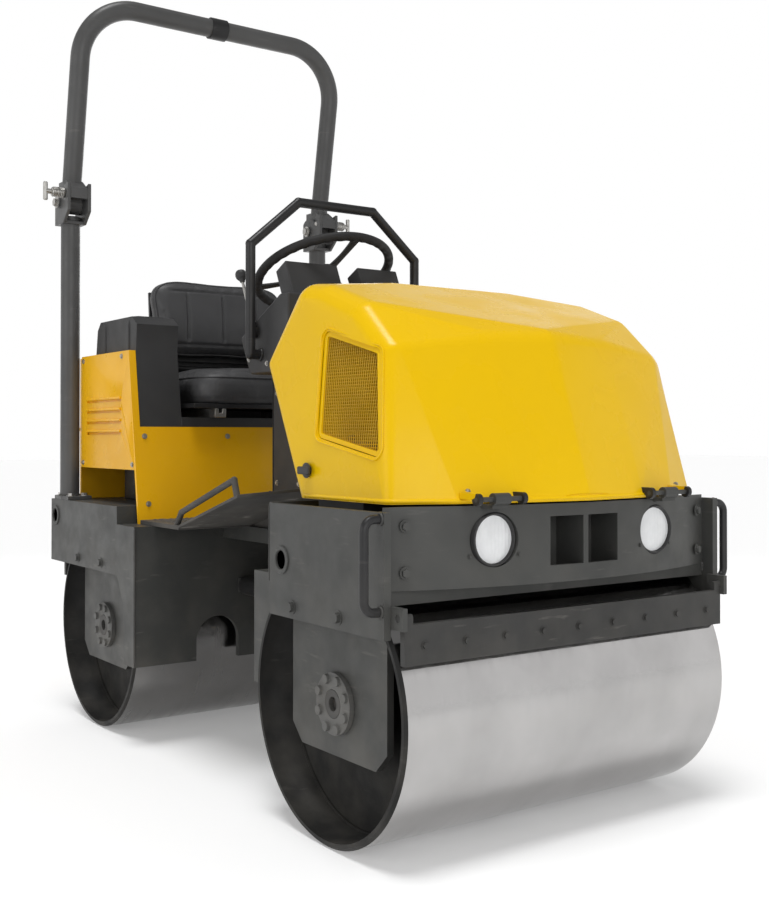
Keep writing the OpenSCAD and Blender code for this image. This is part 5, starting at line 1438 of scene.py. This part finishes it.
@dataclass
class Console:
    """The steering console: dash, pods with gauges, switches, wheel, levers and guard."""

    shop: Workshop
    foot: Point = (-0.036609, 0.0, 1.164054)
    tilt: float = 25.0
    column: float = 0.150
    wheel_r: float = 0.200
    rim_r: float = 0.013

    def place(self) -> Matrix:
        """The dash's own frame: X up its slope, Y to the left and Z out of its face."""
        return Matrix.Translation(self.foot) @ Matrix.Rotation(math.radians(-self.tilt), 4, "Y")

    def mounted(self, piece: Piece, finish: Finish, body: str, *nodes: str) -> None:
        """Moves a piece from the dash's frame to the machine's and settles it."""
        piece.data.transform(self.place())
        settled(piece, finish, body, *nodes)

    def rim(self) -> Piece:
        """The steering wheel's rim, with finger grips on its underside.

        Returns:
            The rim.
        """
        around, across, grips, grip_deep = 288, 20, 36, 0.0018
        middle = self.wheel_r - self.rim_r
        bm = bmesh.new()
        rings = []
        for a in (math.tau * i / around for i in range(around)):
            ring = []
            for b in (math.tau * k / across for k in range(across)):
                under = max(0.0, -math.sin(b)) ** 1.5
                r = self.rim_r - grip_deep * (0.5 + 0.5 * math.cos(grips * a)) * under - 0.0002
                out = middle + r * math.cos(b)
                ring.append(bm.verts.new((out * math.cos(a), out * math.sin(a), r * math.sin(b))))
            rings.append(ring)
        skinned(bm, rings, True)
        return from_bmesh("rim", bm, Finishes.RUBBER, 60.0)

    def spoke(self, a: float) -> Piece:
        """One flat spoke of the steering wheel.

        Args:
            a: Its angle in radians.

        Returns:
            The spoke.
        """
        steps = 14
        bm = bmesh.new()
        loops = []
        for t in (k / steps for k in range(steps + 1)):
            r = 0.020 + (self.wheel_r - self.rim_r - 0.014) * t
            wide = 0.0135 - 0.0045 * math.sin(math.pi * t)
            drop = -0.002 - 0.004 * math.sin(math.pi * t)
            loops.append([bm.verts.new((r * math.cos(a) - s * wide * math.sin(a),
                                        r * math.sin(a) + s * wide * math.cos(a), drop + h * 0.0035))
                          for s, h in ((-1, -1), (1, -1), (1, 1), (-1, 1))])
        skinned(bm, loops)
        return with_bevel(from_bmesh("spoke", bm, Finishes.PLASTIC), 0.0018, 2)

    def wheel(self) -> Piece:
        """The steering wheel in the dash's frame: rim, three spokes and a capped hub.

        Returns:
            The wheel.
        """
        profile = ((0.0102, -0.0195), (0.030, -0.0195), (0.0315, -0.012), (0.033, 0.002), (0.036, 0.0055),
                   (0.036, 0.0085), (0.033, 0.0115), (0.020, 0.0135), (0.0, 0.0140))
        parts = [self.rim(), *(self.spoke(math.radians(a)) for a in (0.0, 120.0, 240.0)),
                 lathe("hub", profile, (0.0, 0.0, 0.0), UP, Finishes.PLASTIC, 64)]
        wheel = joined("steering_wheel_rim", parts)
        wheel.data.transform(Matrix.Translation((0.0, 0.0, self.column)))
        return wheel

    def knob(self, side: float, length: float, lean: float, boot: bool) -> Piece:
        """A lever with its pivot boss, rod, rubber gaiter and knob.

        Args:
            side: 1 for the left lever and -1 for the right.
            length: Length of its rod.
            lean: How far it leans back, in degrees.
            boot: Whether it wears a gaiter.

        Returns:
            The lever.
        """
        origin = Vector((-0.060, side * 0.2405, 1.120))
        up = Vector((-math.sin(math.radians(lean)), 0.0, math.cos(math.radians(lean))))
        parts = [lathe("boss", ((0.0, -0.005), (0.016, -0.005), (0.016, 0.0035), (0.0145, 0.005), (0.009, 0.005),
                                (0.009, 0.0085), (0.0, 0.0088)), origin, (0.0, side, 0.0), Finishes.PAINT, 40),
                 lathe("rod", ((0.0, 0.0), (0.004, 0.0), (0.004, length), (0.0, length)), origin, up,
                       Finishes.ZINC, 20),
                 lathe("knob", ((0.0, -0.020), (0.0062, -0.020), (0.0075, -0.0165), (0.0078, -0.014), (0.0105, -0.011),
                                (0.0142, -0.006), (0.0158, 0.001), (0.0150, 0.008), (0.0122, 0.0128), (0.0075, 0.0152),
                                (0.0, 0.0158)), origin + up * length, up, Finishes.PLASTIC)]
        if boot:
            folds = [(0.0042, 0.012), (0.0148, 0.012)]
            for k in range(4, -1, -1):
                high, wide = 0.072 - 0.012 * k, 0.0058 + 0.0014 * k
                folds += [(wide, high - 0.006), (wide + 0.0018, high)]
            parts.append(lathe("gaiter", [*folds, (0.0042, 0.078)], origin, up, Finishes.RUBBER, 36, 20.0))
        return joined(("throttle" if side > 0 else "travel") + "_lever_grip", parts)

    def gauges(self) -> None:
        """Four round dials on the pods' faces: ring, face, ticks and pointer."""
        rings, faces, ticks = [], [], []
        height = 0.0535
        place = self.place()
        out = place.to_3x3() @ Vector((-1.0, 0.0, 0.0))

        def hand(v: float, a: float, reach: tuple[float, float], lift: float) -> None:
            """Adds a tick or a pointer at an angle, from one reach to the other."""
            ticks.append([place @ Vector((lift, v + r * math.cos(a), height + r * math.sin(a))) for r in reach])

        for low, high in ((-0.190, -0.030), (0.035, 0.165)):
            for k in SIDES:
                v = (low + high) / 2 + k * 0.026
                middle = place @ Vector((0.047, v, height))
                rings.append(lathe("ring", ((0.0165, 0.0), (0.0203, 0.0), (0.0203, 0.0026), (0.0190, 0.0040),
                                            (0.0175, 0.0040), (0.0165, 0.0020), (0.0165, 0.0)), middle, out,
                                   Finishes.PLASTIC, 56))
                faces.append(lathe("face", ((0.0, -0.001), (0.0167, -0.001), (0.0167, 0.0006), (0.0, 0.0006)),
                                   middle, out, Finishes.DIAL))
                for i in range(11):
                    hand(v, math.radians(225 - 27 * i), (0.0134 if i % 5 else 0.0118, 0.0155), 0.0462)
                hand(v, math.radians(160 if k < 0 else 100), (-0.003, 0.0125), 0.0460)
        settled(joined("gauge_rings", rings), Finishes.PLASTIC, "rear")
        settled(joined("gauge_faces", faces), Finishes.DIAL, "rear")
        self.shop.wires("gauge_ticks", "rear", ticks, 0.00042, Finishes.PAINT, False, 4)

    def switches(self) -> None:
        """A row of rocker switches, the key's bezel and the buttons' collars on the dash."""
        parts = []
        for i, v in enumerate((-0.138, -0.106, -0.074, 0.040, 0.072)):
            holder = slab((-0.022, v - 0.012, -0.001), (0.012, v + 0.012, 0.0035))
            rocker = slab((-0.018, v - 0.0085, 0.002), (0.008, v + 0.0085, 0.0065))
            tip = 0.0016 if i % 2 else -0.0016
            for vert in rocker.verts:
                if vert.co.z > 0.004:
                    vert.co.z += tip * (1 if vert.co.x > -0.005 else -1)
            parts += [with_bevel(from_bmesh("holder", holder, Finishes.PLASTIC), 0.0012),
                      with_bevel(from_bmesh("rocker", rocker, Finishes.PAINT), 0.0010)]
        for v, radius in ((0.115, 0.0155), (-0.190, 0.0225), (0.190, 0.0165)):
            parts.append(lathe("collar", ((0.0086, 0.0002), (0.0086, 0.0012), (radius - 0.003, 0.0012),
                                          (radius, 0.0007), (radius, -0.0005), (0.0086, -0.0005),
                                          (0.0086, 0.0002)), (-0.008, v, 0.0), UP, Finishes.ZINC))
        self.mounted(joined("dash_switches", parts), Finishes.PLASTIC, "rear")

    def push(self, v: float, radius: float, height: float, finish: Finish, node: str) -> None:
        """A push button with a rounded head.

        Args:
            v: How far left it lies on the dash.
            radius: Radius of its head.
            height: Height of its head.
            finish: Its finish.
            node: Its CAD node, which is its body too.
        """
        clear, stem_r, stem_end = 0.0055, 0.0078, -0.015
        head = ((radius - 0.003, 0.0), (radius, 0.002), (radius, height * 0.45), (radius - 0.0015, height * 0.75),
                (radius * 0.72, height * 0.95), (radius * 0.4, height * 0.99), (0.0, height))
        profile = [(0.0, stem_end), (stem_r, stem_end), (stem_r, clear), *((r, clear + h) for r, h in head)]
        piece = lathe(f"{node}_head", profile, (-0.008, v, 0.0), UP, finish, 56)
        self.mounted(piece, finish, node, node)

    def key(self) -> None:
        """The ignition key: a stem with a flat bow."""
        stem = lathe("stem", ((0.0, -0.012), (0.0078, -0.012), (0.0078, 0.0025), (0.006, 0.0032), (0.0, 0.0032)),
                     (-0.008, 0.115, 0.0), UP, Finishes.ZINC, 32)
        bow = from_bmesh("bow", slab((-0.019, 0.1136, 0.0028), (0.003, 0.1164, 0.022)), Finishes.PLASTIC)
        piece = joined("ignition_key_bow", (stem, with_bevel(bow, 0.0012)))
        self.mounted(piece, Finishes.ZINC, "ignition_key", "ignition_key")

    def build(self) -> None:
        """Builds and dresses the console."""
        softened("steering_console", Finishes.PLASTIC, 0.006, "rear", "console_shell")
        softened("instrument_panel", Finishes.PLASTIC, 0.005, "rear", "instrument_pods")
        softened("console_guard", Finishes.PAINT, 0.0, "rear", "console_guard_tube")
        softened("steering_column", Finishes.PLASTIC, 0.0008, "rear", "steering_column_tube")
        self.gauges()
        self.switches()
        self.mounted(self.wheel(), Finishes.RUBBER, "steering_wheel", "steering_wheel")
        settled(self.knob(-1.0, 0.175, 25.0, True), Finishes.PLASTIC, "travel_lever", "travel_lever")
        settled(self.knob(1.0, 0.0875, 0.0, False), Finishes.PLASTIC, "throttle_lever", "throttle_lever")
        self.push(-0.190, 0.019, 0.016, Finishes.RED, "emergency_stop")
        self.push(0.190, 0.013, 0.010, Finishes.PAINT, "vibration_button")
        self.key()
        folds = ((0.0212, 0.055), (0.0235, 0.058), (0.0285, 0.064), (0.0228, 0.070), (0.0275, 0.076), (0.0222, 0.082),
                 (0.0265, 0.088), (0.0218, 0.094), (0.0255, 0.100), (0.0212, 0.106), (0.0245, 0.112), (0.0212, 0.118))
        gaiter = lathe("column_gaiter", folds, (0.0, 0.0, 0.0), UP, Finishes.RUBBER, 48, 20.0)
        self.mounted(gaiter, Finishes.RUBBER, "rear")
        seams = [[(x, side * 0.1654, z) for z in (low, 1.005)] for side in SIDES
                 for x, low in ((-0.092, 0.66), (0.066, 0.70))]
        self.shop.wires("console_seams", "rear", seams, 0.0016, Finishes.PAINT, False, 6)
        places = [(x, 0.1654, z) for z in (0.72, 0.96) for x in (-0.070, 0.045)]
        places += [(0.0, 0.2354, 1.035), (-0.098, 0.2354, 1.050)]
        self.shop.bolts("console_screws", "rear", [s for p in places for s in both(p, LEFT)], 0.0050, 0.0034)
        clamps = [circle((-0.035, side * 0.2375, 1.060), 0.0142, LEFT, 24) for side in SIDES]
        self.shop.wires("guard_clamps", "rear", clamps, 0.0035, Finishes.PAINT, True, 8)


def corners_of(piece: Piece) -> np.ndarray:
    """A mesh piece's corners, one row each."""
    return np.array([v.co for v in piece.data.vertices])


def move_corners(piece: Piece, places: np.ndarray) -> None:
    """Moves a mesh piece's corners to new places."""
    piece.data.vertices.foreach_set("co", places.astype(np.float32).reshape(-1))
    piece.data.update()


def skin_of(piece: Piece) -> BVHTree:
    """A mesh piece's skin, for rays."""
    return BVHTree.FromPolygons([v.co for v in piece.data.vertices], [p.vertices[:] for p in piece.data.polygons])


@dataclass
class Seat:
    """The operator's seat: blown-up cushions with seams, pan, rails and back frame."""

    shop: Workshop
    wide: float = 0.480
    deep: float = 0.360
    voxel: float = 0.0055
    cap: float = 0.008
    frames: int = 20

    def pad_form(self, name: str, length: float, height: float) -> Piece:
        """A cushion's form before it is blown up: crowned, with sides that pull in between its corners.

        Args:
            name: The piece's name.
            length: Its size along X.
            height: Height of its edge.

        Returns:
            The closed form, with its flat base at height 0.
        """
        heights = (0.0, 0.04, 0.12, 0.25, 0.42, 0.6, 0.75, 0.86, 0.93, 0.97, 1.0, 1.0, 1.0, 1.0, 1.0, 1.0)
        widths = (0.90, 0.94, 0.972, 0.992, 1.0, 0.996, 0.978, 0.95, 0.915, 0.88, 0.82, 0.70, 0.56, 0.42, 0.28, 0.14)
        sides, crown, tuck = 120, 0.014, 0.984
        bm = bmesh.new()
        rings = []
        for high, wide in zip(heights, widths):
            ring = []
            for a in (math.tau * i / sides for i in range(sides)):
                round_off = (abs(math.cos(a)) ** 5 + abs(math.sin(a)) ** 5) ** -0.2
                s = round_off * (1.0 - 0.035 * math.cos(2 * a) ** 2) * wide
                x, y = s * math.cos(a), s * math.sin(a)
                rise = high * height + (crown * max(0.0, 1.0 - x * x - y * y * 0.8) if high > 0.9 else 0.0)
                ring.append(bm.verts.new((x * length / 2 * tuck, y * self.wide / 2 * tuck, rise)))
            rings.append(ring)
        skinned(bm, rings)
        return from_bmesh(name, bm, Finishes.VINYL, 80.0)

    def blown(self, piece: Piece) -> Piece:
        """Blows a cushion up with cloth simulation and caps how far it swells.

        Args:
            piece: The form.

        Returns:
            The cushion as a plain, finer mesh.
        """
        grid = piece.modifiers.new("grid", "REMESH")
        grid.mode, grid.voxel_size = "VOXEL", self.voxel
        piece = baked(piece)
        rest = corners_of(piece)
        scene = bpy.context.scene
        cloth = piece.modifiers.new("cloth", "CLOTH")
        cloth.settings.use_pressure = True
        cloth.settings.uniform_pressure_force = 4.0
        cloth.settings.quality = 4
        cloth.settings.effector_weights.gravity = 0.0
        cloth.collision_settings.use_collision = False
        scene.frame_start, scene.frame_end = 1, self.frames
        for step in range(1, self.frames + 1):
            scene.frame_set(step)
        moved = corners_of(piece.evaluated_get(bpy.context.evaluated_depsgraph_get())) - rest
        piece.modifiers.remove(cloth)
        scene.frame_set(1)
        size = np.linalg.norm(moved, axis=1, keepdims=True)
        swell = self.cap * np.tanh(size / self.cap) / np.maximum(size, 1e-9)
        swell *= np.clip(rest[:, 2:3] / 0.012, 0.0, 1.0)
        move_corners(piece, rest + moved * swell)
        finer = piece.modifiers.new("finer", "SUBSURF")
        finer.levels = finer.render_levels = 1
        return smooth(baked(piece), 80.0)

    def press(self, piece: Piece, axis: int, spots: Sequence[float], half: float, top: float,
              waves: Sequence[tuple[float, float]]) -> None:
        """Presses sewn lines into a cushion's upper face.

        Args:
            piece: The cushion, lying flat round the origin.
            axis: The axis that the lines lie across, 0 or 1.
            spots: Where they lie on that axis.
            half: Half of their length.
            top: Height above which faces count as the upper face.
            waves: Depth and width of each wave of a line's profile.
        """
        co = corners_of(piece)
        share = np.clip((co[:, 2] - top) / 0.02, 0.0, 1.0) * np.clip((half - np.abs(co[:, 1 - axis])) / 0.02, 0.0, 1.0)
        for spot in spots:
            for deep, wide in waves:
                co[:, 2] -= deep * np.exp(-((co[:, axis] - spot) / wide) ** 2) * share
        move_corners(piece, co)

    def edge_ring(self, piece: Piece, height: float, sides: int = 150) -> list[Point]:
        """A closed path round a cushion at one height, just on its skin.

        Args:
            piece: The cushion, lying flat round the origin.
            height: The path's height.
            sides: Points round it.

        Returns:
            The path.
        """
        skin = skin_of(piece)
        path = []
        for a in (math.tau * k / sides for k in range(sides)):
            direction = Vector((math.cos(a) * self.deep, math.sin(a) * self.wide, 0.0)).normalized()
            hit = skin.ray_cast(Vector((0.0, 0.0, height)) + direction * 0.6, -direction)[0]
            if hit:
                path.append(tuple(hit + direction * 0.0006))
        return path

    def stitch_paths(self, piece: Piece, middle: float, spots: Sequence[float]) -> list[list[Point]]:
        """Paths on a cushion's upper face along both sides of each sewn channel.

        Args:
            piece: The cushion, lying flat round the origin.
            middle: Half of the channels' length.
            spots: How far left each channel lies.

        Returns:
            The paths.
        """
        skin = skin_of(piece)
        paths = []
        for y in (spot + shift for spot in spots for shift in (-0.0068, 0.0068)):
            hits = [skin.ray_cast(Vector((x, y, 0.5)), Vector((0.0, 0.0, -1.0)))[0]
                    for x in np.linspace(-middle + 0.015, middle - 0.015, 30)]
            paths.append([tuple(hit) for hit in hits if hit])
        return paths

    def cushion(self, name: str, body: str, node: str, length: float, height: float, place: Matrix,
                piping: float) -> None:
        """Makes one cushion with its channels, piping and stitches, and puts it in place.

        Args:
            name: The piece's name.
            body: The body that it rides on.
            node: The CAD node that it replaces.
            length: Its size along its own X.
            height: Height of its edge.
            place: Where it goes.
            piping: Height of its piping.
        """
        pad = self.blown(self.pad_form(name, length, height - 0.004))
        spots = (-0.122, 0.0, 0.122)
        middle, top = length / 2 - 0.045, height - 0.018
        self.press(pad, 1, spots, middle, top, ((0.0062, 0.0042), (0.00217, 0.014)))
        self.press(pad, 0, (-middle, middle), 0.185, top, ((0.005, 0.0045),))
        pipe = swept(f"{name}_piping", self.edge_ring(pad, piping), 0.0032, Finishes.VINYL, True, 10)
        thread = self.shop.beads.run(f"{name}_stitches", path_mesh("stitches", self.stitch_paths(pad, middle, spots)),
                                     Finishes.THREAD, body, Pitch=0.0058, Long=0.0021, Thick=0.0006)
        for piece in (pad, pipe, thread):
            piece.data.transform(place)
        settled(pad, Finishes.VINYL, body, node)
        settled(pipe, Finishes.VINYL, body)

    def build(self) -> None:
        """Builds and dresses the seat."""
        softened("seat_rails", Finishes.ZINC, 0.0010, "rear")
        softened("seat_pan", Finishes.PAINT, 0.0012, "seat")
        softened("seat_back_frame", Finishes.PAINT, 0.0012, "seat_back")
        self.cushion("seat_cushion_pad", "seat", "seat_cushion", self.deep, 0.096,
                     Matrix.Translation((-0.560, 0.0, 0.9403)), 0.078)
        back = (Matrix.Translation((-0.772, 0.0, 1.062)) @ Matrix.Rotation(math.radians(-5.0), 4, "Y") @
                Matrix.Translation((-0.0037, 0.0, 0.153)) @ Matrix.Rotation(math.radians(90.0), 4, "Y"))
        self.cushion("seat_back_pad", "seat_back", "seat_back_cushion", 0.260, 0.062, back, 0.046)
        spots = [s for x, z in ((-0.700, 0.952), (-0.650, 0.945), (-0.772, 1.062)) for s in both((x, 0.2524, z), LEFT)]
        self.shop.bolts("seat_bolts", "seat", spots, 0.0065, 0.005)


@dataclass
class Studio:
    """Floor, light and the camera at the photograph's view."""

    eye: Point = (2.727, -1.734, 0.844)
    yaw: float = 144.31
    pitch: float = 0.61
    focal_px: float = 1184.0
    middle_px: tuple[float, float] = (410.0, 424.0)
    image_px: tuple[float, float] = (769.0, 900.0)
    ambient: float = 0.40
    sun_power: float = 1.85
    floor_glow: float = 0.20
    overhead: float = 0.22

    def stand(self, name: str, data: bpy.types.ID, place: Point = (0.0, 0.0, 0.0)) -> Piece:
        """Puts a lamp or a camera into the scene.

        Args:
            name: Its name.
            data: The lamp or the camera.
            place: Where it goes.

        Returns:
            The object that holds it.
        """
        held = bpy.data.objects.new(name, data)
        held.location = place
        bpy.context.scene.collection.objects.link(held)
        return held

    def camera(self) -> None:
        """Makes the camera and gives it to the scene."""
        data = bpy.data.cameras.new("view")
        data.sensor_fit = "AUTO"
        data.sensor_width = 36.0
        long_side = max(self.image_px)
        data.lens = self.focal_px * data.sensor_width / long_side
        data.shift_x = (self.image_px[0] / 2 - self.middle_px[0]) / long_side
        data.shift_y = (self.middle_px[1] - self.image_px[1] / 2) / long_side
        data.clip_end = 80.0
        seen = self.stand("view", data, self.eye)
        seen.rotation_euler = (math.radians(90.0 + self.pitch), 0.0, math.radians(self.yaw - 90.0))
        bpy.context.scene.camera = seen

    def looked_at(self, tree: Tree) -> Socket:
        """A socket that is 1 where the eye, a reflection or a view through glass meets a surface.

        Args:
            tree: The node tree that it is added to.

        Returns:
            The socket.
        """
        rays = add(tree, "ShaderNodeLightPath").outputs
        value = rays["Is Camera Ray"]
        for kind in ("Is Glossy Ray", "Is Transmission Ray"):
            value = maths(tree, "MAXIMUM", value, rays[kind])
        return value

    def floor(self) -> None:
        """A wide pale floor that keeps the shadow."""
        bm = bmesh.new()
        bmesh.ops.create_grid(bm, x_segments=1, y_segments=1, size=40.0)
        bm.transform(Matrix.Translation((0.0, 0.0, -0.0006)))
        mesh = bpy.data.meshes.new("floor")
        bm.to_mesh(mesh)
        bm.free()
        pale = bpy.data.materials.new("floor_pale")
        pale.use_nodes = True
        tree = pale.node_tree
        shader = tree.nodes["Principled BSDF"]
        for name, value in (("Base Color", (0.80, 0.80, 0.80, 1.0)), ("Roughness", 0.9), ("Specular IOR Level", 0.1)):
            feed(shader.inputs[name], value)
        glow = add(tree, "ShaderNodeEmission", Strength=self.floor_glow).outputs[0]
        lit = add(tree, "ShaderNodeAddShader", i0=shader.outputs[0], i1=glow).outputs[0]
        seen = add(tree, "ShaderNodeMixShader", i0=self.looked_at(tree), i1=shader.outputs[0], i2=lit)
        feed(tree.nodes["Material Output"].inputs["Surface"], seen.outputs[0])
        mesh.materials.append(pale)
        as_object("floor", mesh)

    def world(self) -> None:
        """White round the object, greyer overhead, and a softer light on it."""
        world = bpy.data.worlds.new("studio")
        bpy.context.scene.world = world
        world.use_nodes = True
        tree = world.node_tree
        back = tree.nodes["Background"]
        feed(back.inputs["Color"], (1.0, 1.0, 1.0, 1.0))
        feed(back.inputs["Strength"], self.ambient)
        aim = add(tree, "ShaderNodeTexCoord").outputs["Generated"]
        height = add(tree, "ShaderNodeSeparateXYZ", i0=aim).outputs["Z"]
        fall = add(tree, "ShaderNodeMapRange", {"interpolation_type": "SMOOTHSTEP"}, Value=height, From_Min=0.36,
                   From_Max=0.52, To_Min=1.0, To_Max=self.overhead)
        white = add(tree, "ShaderNodeBackground", Color=(1.0, 1.0, 1.0, 1.0), Strength=fall.outputs["Result"])
        mix = add(tree, "ShaderNodeMixShader", i0=self.looked_at(tree), i1=back.outputs[0], i2=white.outputs[0])
        feed(tree.nodes["World Output"].inputs["Surface"], mix.outputs[0])

    def lamps(self) -> None:
        """A soft light from nearly overhead, and soft panels in front, at the side and behind."""
        sun = bpy.data.lights.new("sun", "SUN")
        sun.energy, sun.angle = self.sun_power, math.radians(24.0)
        self.stand("sun", sun).rotation_euler = Vector((0.10, -0.16, 1.0)).to_track_quat("Z", "Y").to_euler()
        for name, place, aim, watts in (("front_panel", (4.4, -1.2, 1.7), (0.6, 0.0, 0.8), 38.0),
                                        ("side_panel", (0.2, -4.4, 1.7), (0.0, 0.0, 0.8), 24.0),
                                        ("back_panel", (-4.0, 3.0, 1.9), (0.0, 0.0, 0.8), 26.0)):
            lamp = bpy.data.lights.new(name, "AREA")
            lamp.shape = "RECTANGLE"
            lamp.size, lamp.size_y = 2.8, 1.8
            lamp.energy = watts
            held = self.stand(name, lamp, place)
            held.rotation_euler = (Vector(place) - Vector(aim)).to_track_quat("Z", "Y").to_euler()

    def build(self) -> None:
        """Sets the whole stage and plain colour management."""
        self.camera()
        self.floor()
        self.world()
        self.lamps()
        bpy.context.scene.view_settings.view_transform = "Standard"


def main() -> None:
    """Builds the stage and every sub-assembly in order."""
    logging.basicConfig(level=logging.INFO, format="%(message)s")
    Studio().build()
    shop = Workshop()
    for kind in (Frames, Drums, Bumper, Hood, EngineBay, Body, Platform, RollBar, Console, Seat):
        LOG.info("building %s", kind.__name__)
        kind(shop).build()
    for name, node in frame["nodes"].items():
        if not node.hide_render:
            LOG.info("bare CAD node left: %s", name)


if __name__ == "__main__":
    main()
